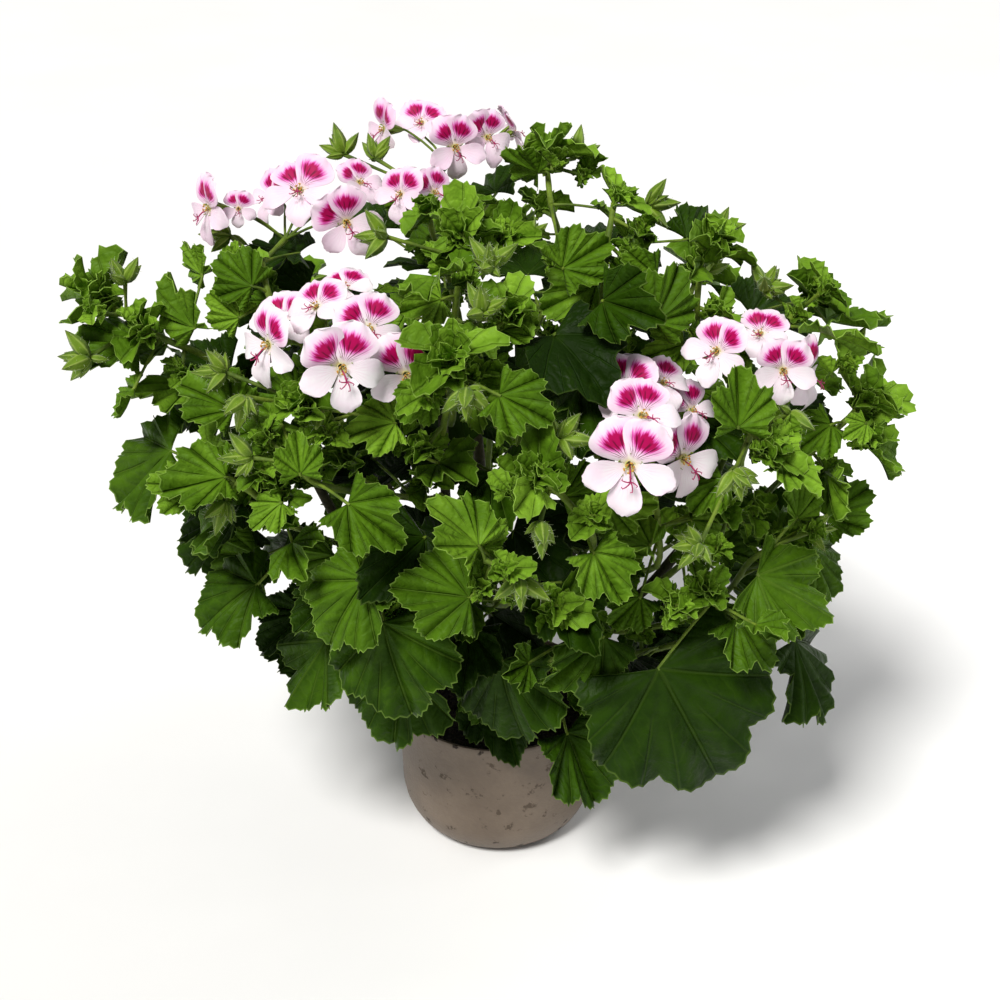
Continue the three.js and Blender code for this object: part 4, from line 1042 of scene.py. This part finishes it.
taken = []
takenCentres = np.zeros((4000, 3))
takenReaches = np.zeros(4000)
insideOnly = []  # the box that later leaves keep to; the first ones, which the solids share, have none


def take(shapes):
    for shape in shapes:
        takenCentres[len(taken)] = shape["centre"]
        takenReaches[len(taken)] = shape["reach"]
        taken.append(shape)


def meetsPot(shape):
    points = shape["points"]
    radius = np.hypot(points[:, 0], points[:, 1])
    overSoil = (radius < potRimRadius - 9) & (points[:, 2] > soilTop + 8)
    low = (radius < potRimRadius + 4) & (points[:, 2] < potHeight + 3) & ~overSoil
    return bool((low | (points[:, 2] < 6)).any())


def sticksOut(shape):
    sides = zip(shape["centre"], insideOnly)
    return any(not low + shape["reach"] < value < high - shape["reach"] for value, (low, high) in sides)


def mayTouch(a, b):  # within one node stems may join, but a blade keeps clear of all but its own tuft
    if a["node"] != b["node"]:
        return False
    return (a["normal"] is None and b["normal"] is None) or (a["tuft"] is not None and a["tuft"] is b["tuft"])


def isClear(shape):
    if meetsPot(shape) or sticksOut(shape):
        return False
    apart = np.linalg.norm(takenCentres[:len(taken)] - shape["centre"], axis=1)
    near = np.nonzero(apart <= takenReaches[:len(taken)] + shape["reach"] + roomBetween)[0]
    for i in near:
        other = taken[i]
        if mayTouch(other, shape):
            continue
        room = shape["half"] + other["half"] + roomBetween
        if any(distancesTo(a["points"], b).min() < room for a, b in ((shape, other), (other, shape))):
            return False
    return True


def settle(place, make):  # the first small move and turn that stands clear of all that is there already
    sight = unit(plus(place, viewer, -1))
    for nudge in nudges:
        for slip in slips:
            for turn in turns:
                made = make(plus(nudge, sight, slip), turn)
                if all(isClear(shape) for shape in made["shapes"]):
                    take(made["shapes"])
                    return made
    return None


# Each of these grows one thing on a shoot and keeps what it came to.
routes = {}
grown = dict(leaves=[], tufts=[], buds=[], flowers=[], stems=[])


def growLeaf(name, base, tip, turn=0, kind="leaf"):
    node, length = "shoot_" + name, distance(base, tip)

    def make(shift, extra):
        origin = plus(base, shift)
        along = unit(plus(plus(tip, shift), origin, -1))
        face = plus([0, -0.12, 0.8], outward(origin), 0.75)
        normal = turned(square(face, along), along, turn + extra)
        root = nearestOf(routes[name], origin)
        centre = plus(plus(origin, along, length * 0.4), normal, -0.4 * leafDroop * length)
        blade = disc(node, centre, normal, length * 0.62, 0.05 * length + 0.9)
        return dict(node=node, kind=kind, length=length, root=root, origin=origin, along=along, normal=normal,
                    across=cross(along, normal), shapes=[blade, rod(node, root, origin, stalkRadius)])

    made = settle(base, make)
    if made:
        grown["leaves"].append(made)


def growTuft(name, tuft):
    node, centre, reach = "shoot_" + name, tuft[:3], tuft[3]
    normal = unit(plus([0, -0.15, 0.85], outward(centre), 0.6))

    def make(shift, turn):
        place = plus(centre, shift)
        root = nearestOf(routes[name], place)
        atTip = distance(root, place) < 0.8 * reach
        origin = plus(root, normal, 3) if atTip else plus(place, normal, -0.3 * reach)
        heart = disc(node, plus(origin, normal, 0.2 * reach), normal, 0.2 * reach, 0.1 * reach, tuft)
        return dict(root=root, origin=origin, shapes=[heart, rod(node, root, origin, stalkRadius)])

    made = settle(centre, make)
    if not made:
        return
    along = square([0, 0, 1], normal)
    start = draw(0, 360)
    count = 5 if reach > 19 else 4
    part = 180 / count
    leaves = []
    shapes = []
    for i in range(count):
        out = turned(along, normal, start + 2 * part * i)
        way, face = raised(out, normal, math.radians(52 if i % 2 else 24))
        room = []
        for share in (1, 0.82, 0.66, 0.52, 0.4):
            length = share * reach * (0.82 if i % 2 else 1.12)
            middle = plus(made["origin"], way, 0.62 * length)
            room.append((length, disc(node, middle, face, 0.4 * length, 0.07 * length + 0.4, tuft)))
        length, shape = next((one for one in room if isClear(one[1])), room[4])
        shapes.append(shape)
        leaves.append((way, face, length, 0))
    take(shapes)
    grown["tufts"].append(dict(made, node=node, normal=normal, along=along, leaves=leaves, reach=reach))


def growBuds(name, entry):
    x, y, z, wayName, count = entry
    node, place = "shoot_" + name, [x, y, z]
    axis = unit(plus(budWays[wayName], outward(place), 0.4))
    side = sideOf(axis)
    lengths = [draw(12, 16) for _ in range(count)]

    def make(shift, turn):
        centre = plus(place, shift)
        root = nearestOf(routes[name], centre)
        buds = []
        for i, length in enumerate(lengths):
            leaning = turned(side, axis, turn + 360 * i / max(1, count - 1))
            way = axis if i == 0 else turned(axis, cross(axis, leaning), 52)
            buds.append((plus(centre, way, 0.6), way, length))
        rods = [rod(node, start, plus(start, way, length), budRadius) for start, way, length in buds]
        return dict(node=node, centre=centre, root=root, axis=axis, buds=buds,
                    shapes=[*rods, rod(node, root, centre, stalkRadius)])

    made = settle(place, make)
    if made:
        grown["buds"].append(made)


def growFlower(head, entry, name):
    x, y, z, aside, up, spin, radius = entry
    node, centre = "shoot_" + head["shoot"], head["centre"]

    def make(shift, turn):
        yaw = math.radians(aside + turn)
        pitch = math.radians(up)
        normal = [math.sin(yaw) * math.cos(pitch), -math.cos(yaw) * math.cos(pitch), math.sin(pitch)]
        along = turned(square([0, 0, 1], normal), normal, spin)
        origin = plus([x, y, z], shift)
        calyxFront = plus(origin, normal, -0.37 * radius - gap)
        calyxBack = plus(calyxFront, normal, -0.34 * radius)
        middle = plus(between(centre, calyxBack, 0.5), [0, 0, 1], 2)
        shapes = [
            disc(name, plus(origin, normal, 0.08 * radius), normal, 0.97 * radius, 0.09 * radius + 0.7),
            rod(name, origin, plus(origin, normal, -0.37 * radius), 0.14 * radius),
            rod(node, calyxFront, calyxBack, 2.4),
            *rodsAlong(node, [centre, middle, calyxBack], pedicelRadius),
        ]
        return dict(name=name, node=node, radius=radius, centre=centre, middle=middle, calyxBack=calyxBack,
                    origin=origin, normal=normal, along=along, shapes=shapes)

    made = settle([x, y, z], make)
    if made:
        grown["flowers"].append(made)


# stems first, then the heads, then everything that gives way to them
for points in branches:
    take(rodsAlong("woody_stems", pathPoints(points, woodSegments), woodRadius))
for shoot in shoots:
    name, node = shoot["name"], "shoot_" + shoot["name"]
    joints = pathPoints(branches[shoot["branch"]], woodSegments)
    low = min(int(shoot["along"] * woodSegments), woodSegments - 1)
    start = between(joints[low], joints[low + 1], shoot["along"] * woodSegments - low)
    aside = square(plus(shoot["route"][0], start, -1), unit(plus(joints[low + 1], joints[low], -1)))
    thick = woodRadius * (thickBelow + (thinAbove - thickBelow) * shoot["along"])
    foot = plus(start, aside, thick + 2 * gap)
    rings = pathPoints([foot, plus(foot, aside, 4), *shoot["route"]], 2 + len(shoot["route"]))
    routes[name] = [between(a, b, t) for a, b in zip(rings, rings[1:]) for t in (0.25, 0.5, 0.75, 1)]
    take(rodsAlong(node, rings, shootRadius))
    grown["stems"].append(dict(node=node, points=rings, kind="shoot"))
for head in heads:
    node = "shoot_" + head["shoot"]
    line = [nearestOf(routes[head["shoot"]], head["centre"]), head["centre"]]
    take(rodsAlong(node, line, 1.5))
    grown["stems"].append(dict(node=node, points=line, kind="head"))
    for i, entry in enumerate(head["flowers"]):
        growFlower(head, entry, "flower_%s_%d" % (head["name"], i + 1))
for shoot in shoots:
    for entry in shoot["leaves"]:
        growLeaf(shoot["name"], entry[:3], entry[3:6], *entry[6:])
for shoot in shoots:
    for tuft in shoot["tufts"]:
        growTuft(shoot["name"], tuft)
    for entry in shoot["buds"]:
        growBuds(shoot["name"], entry)


def fillGap(base, tip, kind, furthest):  # a leaf on the nearest shoot, unless that is too far away
    far, name = min((distance(nearestOf(route, base), base), name) for name, route in routes.items())
    if nearestFill < far < furthest:
        growLeaf(name, base, tip, 0, kind)


# the rest of the foliage: places on a spiral over the crown, deeper inside where the front is full already
for i in range(fillLeaves):
    angle = math.radians(i * goldenAngle)
    height = -0.86 + 1.66 * (i + 0.5) / fillLeaves
    back = math.sin(angle)
    depth = 0.8 + 0.16 * back
    around = math.sqrt(1 - height * height) * depth
    place = [canopy["halfWidth"] * around * math.cos(angle), 8 + canopy["halfDepth"] * around * back,
             canopy["middle"] + canopy["halfHeight"] * height * (0.9 + 0.1 * depth)]
    out = outward(place)
    length = draw(38, 56) - 10 * max(0, height)
    droop = draw(-0.9, -0.3) + 0.9 * max(0, height)
    aside = draw(-0.5, 0.5)
    way = unit([out[0] - out[1] * aside, out[1] + out[0] * aside, droop])
    base = plus(place, way, -0.35 * length)
    fillGap(base, plus(base, way, length), "fill", furthestFill)

# What the solids have no room for: leaves and small tufts along the upper stems, old dark leaves deep inside.
extraLook = dict(sideLeaves=4, sideTufts=4, inner=130, innerLength=(30, 50), reach=(14, 20), furthest=70)
insideOnly.extend((low * 1000, high * 1000) for low, high in zip(*cadBox))


def besideStem(route, share, turn, away, rise):
    foot = route[int(share * (len(route) - 1))]
    out = turned(outward(foot), [0, 0, 1], shade.uniform(-turn, turn))
    return plus(plus(foot, out, shade.uniform(*away)), [0, 0, 1], shade.uniform(*rise)), out


for shoot in shoots:
    name, route = shoot["name"], routes[shoot["name"]]
    for i in range(extraLook["sideTufts"]):
        spot, out = besideStem(route, 0.36 + 0.2 * i, 80, (13, 22), (-4, 16))
        growTuft(name, [*spot, shade.uniform(*extraLook["reach"])])
    for i in range(extraLook["sideLeaves"]):
        base, out = besideStem(route, 0.2 + 0.2 * i, 90, (14, 30), (-6, 10))
        way = unit(plus(out, [0, 0, 1], shade.uniform(-0.7, 0.4)))
        growLeaf(name, base, plus(base, way, shade.uniform(22, 36)), 0, "side")
for i in range(extraLook["inner"]):
    angle = math.radians(i * goldenAngle)
    height = -0.8 + 1.5 * (i + 0.5) / extraLook["inner"]
    depth = shade.uniform(0.2, 0.72)
    around = math.sqrt(1 - height * height) * depth
    spot = [canopy["halfWidth"] * around * math.cos(angle), canopy["halfDepth"] * around * math.sin(angle),
            canopy["middle"] + canopy["halfHeight"] * height * (0.85 + 0.15 * depth)]
    tilt = [shade.uniform(-0.5, 0.5), shade.uniform(-0.5, 0.5), shade.uniform(-0.7, 0.3)]
    way = unit(plus(outward(spot), tilt))
    length = shade.uniform(*extraLook["innerLength"])
    base = plus(spot, way, -0.35 * length)
    fillGap(base, plus(base, way, length), "inner", extraLook["furthest"])
print("places settled:", {key: len(value) for key, value in grown.items()})


# Each flower: the petals round the throat, the second upper petal behind the rest.
petalPlaces = [("lower", 112, 0.96, 0), ("lower", 180, 1, 0), ("lower", 248, 0.96, 0),
               ("upper", 329, 1, 0), ("upper", 31, 1, -0.07)]
flowerLook = dict(pinkHeads=dict(a=0.75, b=0.7, d=0.25, e=0.2), turn=7, bend=0.2,
                  lean=dict(upper=(-6, 12), lower=(-16, 12)), length=(0.92, 0.99))
for bloom in grown["flowers"]:
    radius, normal, along = bloom["radius"], bloom["normal"], bloom["along"]
    short = bloom["name"].replace("flower_", "")
    pieces = []
    for kind, turn, length, back in petalPlaces:
        way = turned(along, normal, turn + shade.uniform(-flowerLook["turn"], flowerLook["turn"]))
        across = cross(way, normal)
        foot = plus(plus(bloom["origin"], normal, back * radius), way, 0.06 * radius)
        lean = shade.uniform(*flowerLook["lean"][kind])
        way, face = turned(way, across, lean), turned(normal, across, lean)
        scale = length * radius * shade.uniform(*flowerLook["length"])
        pink = flowerLook["pinkHeads"].get(short[0], 0) * shade.uniform(0.5, 1)
        petal = placeCopy(petalPatterns[kind], foot, across, way, face, scale, pink)
        bendPiece(petal, foot, across, way, face, length * radius, flowerLook["bend"])
        pieces.append(petal)
    pieces.append(placeCopy(heartPattern, bloom["origin"], cross(along, normal), along, normal, radius))
    handOver(joinPieces(pieces, "bloom_" + short), "flower", bloom["name"])
print("flowers placed:", len(grown["flowers"]))


# Each leafy shoot, all in one piece: stem, stalks, leaves, tufts, buds, and the heads' stalks and calyces.
dressings = {"shoot_" + shoot["name"]: dict(pieces=[], lines=[]) for shoot in shoots}


def tapered(points, stops, radii):  # the radius of each point, from a few radii along the line
    return points, np.interp(np.linspace(0, 1, len(points)), stops, radii)


def stalkLine(root, end, sag, radii, way=None):
    points = pathPoints([root, plus(between(root, end, 0.5), [0, 0, 1], sag), end], 6)
    if way is not None:
        points.append(plus(end, way, 1.2))
    return tapered(points, [0, 0.5, 1], radii)


for stem in grown["stems"]:
    if stem["kind"] == "shoot":  # a little thicker at each joint
        joints = len(stem["points"]) - 1
        points = pathPoints(stem["points"], 4 * joints)
        steps = np.linspace(0, 1, len(points))
        line = points, shootRadius * (1 - 0.2 * steps) * (1 + 0.12 * np.cos(steps * 2 * np.pi * joints) ** 8)
    else:
        line = stalkLine(*stem["points"], 0, [1.5, 1.3, 2.0])
    dressings[stem["node"]]["lines"].append(line)

# how old each kind of leaf looks, from 0 for young to 1 for old
leafAges = dict(spread=0.2, fill=0.85, inner=0.97)
for leaf in grown["leaves"]:
    here, origin, length = dressings[leaf["node"]], leaf["origin"], leaf["length"]
    axes = [leaf[key] for key in ("across", "along", "normal")]
    kind = "giant" if length > 80 else "big" if length > 38 else "small"
    low = np.clip((300 - origin[2]) / 250, 0, 1)
    large = np.clip((length - 20) / 60, 0, 1)
    age = 0.2 + 0.38 * low + 0.44 * large + shade.uniform(-0.5, 0.5) * leafAges["spread"]
    if leaf["kind"] in leafAges:
        age = leafAges[leaf["kind"]] + shade.uniform(-1, 0.6) * leafAges["spread"]
    pattern = leafPatterns["old" if leaf["kind"] == "inner" else kind]
    blade = placeCopy(pattern, origin, *axes, length, min(1, max(0, age)))
    fold = math.radians(shade.uniform(0, 12 if length > 60 else 32))
    bendPiece(blade, origin, *axes, length, 0.22, fold)
    here["pieces"].append(blade)
    here["lines"].append(stalkLine(leaf["root"], origin, 0.8, [1.1, 0.8, 0.95], leaf["along"]))

# a tuft gets inner leaves between those of its solid; the shorter ones are young
tuftLook = dict(few=8, many=12, step=137.5, sway=20, rise=(5, 80), length=(0.42, 0.85), lift=(-0.45, 0.3),
                roll=35, tuft=dict(age=(0.08, 0.32), fold=(12, 40)), young=dict(age=(0, 0.14), fold=(20, 50)))
for tuft in grown["tufts"]:
    here, origin, normal, reach = dressings[tuft["node"]], tuft["origin"], tuft["normal"], tuft["reach"]
    here["lines"].append(stalkLine(tuft["root"], origin, 0, [1.3, 1.1, 1.5], normal))
    leaves = list(tuft["leaves"])
    for i in range(tuftLook["many"] if reach > 19 else tuftLook["few"]):
        rise = math.radians(shade.uniform(*tuftLook["rise"]))
        sway = shade.uniform(-tuftLook["sway"], tuftLook["sway"])
        out = turned(tuft["along"], normal, tuftLook["step"] * i + sway)
        length = reach * shade.uniform(*tuftLook["length"])
        leaves.append((*raised(out, normal, rise), length, shade.uniform(*tuftLook["lift"]) * reach))
    for way, face, length, lift in leaves:
        start = plus(origin, normal, lift)
        foot = plus(start, way, 0.18 * length)
        kind = "tuft" if length > 0.58 * reach else "young"
        age = shade.uniform(*tuftLook[kind]["age"])
        face = turned(face, way, shade.uniform(-tuftLook["roll"], tuftLook["roll"]))
        across = cross(way, face)
        blade = placeCopy(leafPatterns[kind], foot, across, way, face, 0.86 * length, age)
        fold = math.radians(shade.uniform(*tuftLook[kind]["fold"]))
        bendPiece(blade, foot, across, way, face, 0.86 * length, 0.45, fold)
        here["pieces"].append(blade)
        here["lines"].append(([start, foot, plus(foot, way, 0.5)], [0.9, 0.6, 0.5]))

# a bunch gets more buds where there is room, and bracts beneath
bunchLook = dict(more=9, bud=(10, 15), bracts=4, bract=4.5, bractAge=0.2)
for bunch in grown["buds"]:
    here, centre, axis = dressings[bunch["node"]], bunch["centre"], bunch["axis"]
    here["lines"].append(stalkLine(bunch["root"], centre, 0, [1.1, 0.9, 1.4]))
    buds = [(start, way, 1.25 * length) for start, way, length in bunch["buds"]]
    for i in range(bunchLook["more"]):
        way = unit(plus(plus(axis, list(shade.normal(size=3)), 0.8), outward(centre), 0.3))
        length = shade.uniform(*bunchLook["bud"])
        if isClear(rod(bunch["node"], centre, plus(centre, way, length), 0.72 * budRadius)):
            buds.append((centre, way, length))
    for start, way, length in buds:
        here["pieces"].append(pointCopy(budPattern, start, way, length, sideOf(way, [0.3, 0.2, 1])))
    for i in range(bunchLook["bracts"]):
        out = turned(sideOf(axis, [0.1, 0.3, 1]), axis, 360 / bunchLook["bracts"] * i + 30)
        way = unit(plus(out, axis, 0.5))
        face = square(axis, way)
        here["pieces"].append(placeCopy(bractPattern, plus(centre, axis, -0.5), cross(way, face), way, face,
                                        bunchLook["bract"], bunchLook["bractAge"]))

for bloom in grown["flowers"]:
    here, back, normal = dressings[bloom["node"]], bloom["calyxBack"], bloom["normal"]
    points = pathPoints([bloom["centre"], bloom["middle"], back, plus(back, normal, 1.5)], 8)
    here["lines"].append(tapered(points, [0, 0.7, 1], [0.8, 0.7, 1.0]))
    here["pieces"].append(pointCopy(calyxPattern, back, normal, 0.62 * bloom["radius"], bloom["along"]))
for node, parts in dressings.items():
    stems = makeTubes("stems", parts["lines"], stemGreen)
    handOver(joinPieces([stems, *parts["pieces"]], node.replace("shoot", "foliage")), "foliage", node)
print("shoots dressed:", len(dressings))


# The woody branches, with a ring where each old leaf stood, and the crown that they grow from.
woodLook = dict(rings=7, swell=0.16, points=40)
lines = []
for i, points in enumerate(branches):
    steps = np.linspace(0, 1, woodLook["points"] + 1)
    radii = woodRadius * np.interp(steps, [0, 0.15, 1], [1.5, 1.15, 0.85])
    rings = np.clip(np.sin(steps * np.pi * woodLook["rings"] + i), 0, 1) ** 12
    radii = radii * (1 + woodLook["swell"] * rings)
    lines.append((pathPoints([[0, 0, soilTop - 6], *points], woodLook["points"]), radii))
crown = [[0, 0, soilTop - 23], [0.5, 0.4, soilTop - 4], [0, 0, soilTop + 6], [0.4, -0.4, soilTop + 12]]
lines.append(tapered(pathPoints(crown, 9), [0, 0.6, 1], [8.6, 8.2, 6.4]))
handOver(makeTubes("branches", lines, bark, 3), "wood", "woody_stems")
print("wood done")

# The pot: its outline spun round the middle, walls and floor together.
potLook = dict(turns=96, dark=(0.125, 0.09, 0.06), light=(0.175, 0.13, 0.09), worn=(0.1, 0.075, 0.06),
               dirt=(0.02, 0.012, 0.006))
potPlastic, tree, shader = newMaterial("pot_plastic", Roughness=0.55)
fine, dirt = patches(tree, 420.0), patches(tree, 105.0, 0.6, 0.68)
where = addNode(tree, "SeparateXYZ", {0: addNode(tree, "TexCoord").outputs["Object"]})
low = step(tree, where.outputs["Z"], 0.0, 0.035, 1.0, 0.5)
high = step(tree, where.outputs["Z"], 0.075, 0.093, 0.0, 1.0)
plastic = blend(tree, patches(tree, 22.0, 0.35), potLook["dark"], potLook["light"])
plastic = blend(tree, times(tree, fine, 0.18), plastic, potLook["worn"])
plastic = blend(tree, times(tree, dirt, calc(tree, "MAXIMUM", low, high)), plastic, potLook["dirt"])
grain = calc(tree, "ADD", fine, dirt)
finishWith(tree, shader, plastic, step(tree, dirt, 0, 1, 0.5, 0.85), grain, 0.35, 0.0003)

profile = [  # radius and height, up the outside, over the rim and down the inside
    (0, 0), (potBaseRadius, 0), (50.5, 1.2), (54.5, 3.8), (58, 8), (60.6, 13), (62.8, 19), (64, 26),
    (64.6, 42), (65, 60), (65.6, 84), (potRimRadius - 0.1, 91), (potRimRadius, 92.6), (65.6, 93.7),
    (64.8, potHeight), (64, 93.6), (63.6, 92.4), (62.7, 60), (61.7, 27), (59, 17), (55.5, 10), (50, 5.2),
    (44.7, 2.4), (0, 2.4),
]
pot = addShape("plant_pot", "plane", size=1)
startEdit(pot)
bpy.ops.mesh.delete(type="VERT")
endEdit()
sides = [(i, i + 1) for i in range(len(profile) - 1)]
pot.data.from_pydata([(r * 0.001, 0, z * 0.001) for r, z in profile], sides, [])
startEdit(pot)
bpy.ops.mesh.spin(steps=potLook["turns"], angle=2 * math.pi, center=(0, 0, 0), axis=(0, 0, 1))
endEdit()
weld(pot)
handOver(finishShape(pot, 45, potPlastic), "pot", "pot")

# The soil: a rough dark surface of crumbs, with the root ball beneath it.
soilLook = dict(radius=63.1, rough=1.5, crumbs=110, crumb=(0.8, 2.2), dark=(0.006, 0.004, 0.003),
                light=(0.035, 0.022, 0.013), fleck=(0.16, 0.1, 0.05))
soilDark, tree, shader = newMaterial("soil", Roughness=0.95)
fine, fleck = patches(tree, 300.0, 0.4, 0.65), patches(tree, 900.0, 0.66, 0.7)
earth = blend(tree, fine, soilLook["dark"], soilLook["light"])
earth = blend(tree, times(tree, fleck, 0.6), earth, soilLook["fleck"])
finishWith(tree, shader, earth, None, calc(tree, "ADD", fine, fleck), 0.8, 0.0012)
soil = addShape("soil", "grid", x_subdivisions=60, y_subdivisions=60, size=2)
corners = cornersOf(soil)
rim = np.maximum(np.abs(corners[:, 0]), np.abs(corners[:, 1]))  # 0 in the middle, 1 along the edge
turn = np.arctan2(corners[:, 1], corners[:, 0])
x, y = soilLook["radius"] * rim * np.cos(turn), soilLook["radius"] * rim * np.sin(turn)
rough = np.sin(x * 0.9 + 2 * np.sin(y * 0.6)) + np.sin(y * 1.1 + 2 * np.sin(x * 0.5))
rough = rough + 0.7 * np.sin(2.3 * x - 1.9 * y)
height = soilTop + 1.2 - 1.6 * rim ** 6 + 0.35 * soilLook["rough"] * rough * (1 - 0.7 * rim ** 8)
moveCorners(soil, np.column_stack([x, y, height]) * 0.001)
startEdit(soil)
bpy.ops.mesh.region_to_loop()
for shrink, drop in ((1, -0.02), (0.985, -0.03), (0.93, -0.012), (0.72, -0.01)):
    bpy.ops.mesh.extrude_region_move(TRANSFORM_OT_translate={"value": (0, 0, drop)})
    bpy.ops.transform.resize(value=(shrink, shrink, 1))
bpy.ops.mesh.edge_face_add()
endEdit()
weld(soil)
finishShape(soil, 50, soilDark)
crumb = addShape("crumb", "ico_sphere", subdivisions=1, radius=1)
corners = cornersOf(crumb)
moveCorners(crumb, corners * (1 + 0.25 * np.sin(7 * corners[:, :1] + 5 * corners[:, 1:2])))
crumb.data.materials.append(soilDark)
crumbs = [soil]
for i in range(soilLook["crumbs"]):
    far = 62 * math.sqrt(shade.uniform(0.15, 0.98))
    turn = shade.uniform(0, 2 * math.pi)
    scale = shade.uniform(*soilLook["crumb"])
    way = unit(list(shade.normal(size=3)))
    far = min(far, 61 - scale)
    spot = [far * math.cos(turn), far * math.sin(turn), soilTop + 0.8 + 0.4 * scale]
    crumbs.append(pointCopy(crumb, spot, way, scale, square([0.1, 0.2, 1], way)))
handOver(joinPieces(crumbs, "potting_soil"), "soil", "soil")
print("pot and soil done")

# the floor, which isn't part of the plant
floorTone, tree, shader = newMaterial("floor", Roughness=0.8)
finishWith(tree, shader, blend(tree, patches(tree, 3.0), (0.86, 0.86, 0.86), (0.89, 0.89, 0.89)))
floor = addShape("floor", "plane", size=14, location=(0, 3, 0))
floor.data.materials.append(floorTone)

for pattern in (*leafPatterns.values(), *petalPatterns.values(), budPattern, bractPattern, calyxPattern,
                heartPattern, crumb):
    bpy.data.objects.remove(pattern)
print("triangles added:", sum(len(face.vertices) - 2 for obj in finished for face in obj.data.polygons))
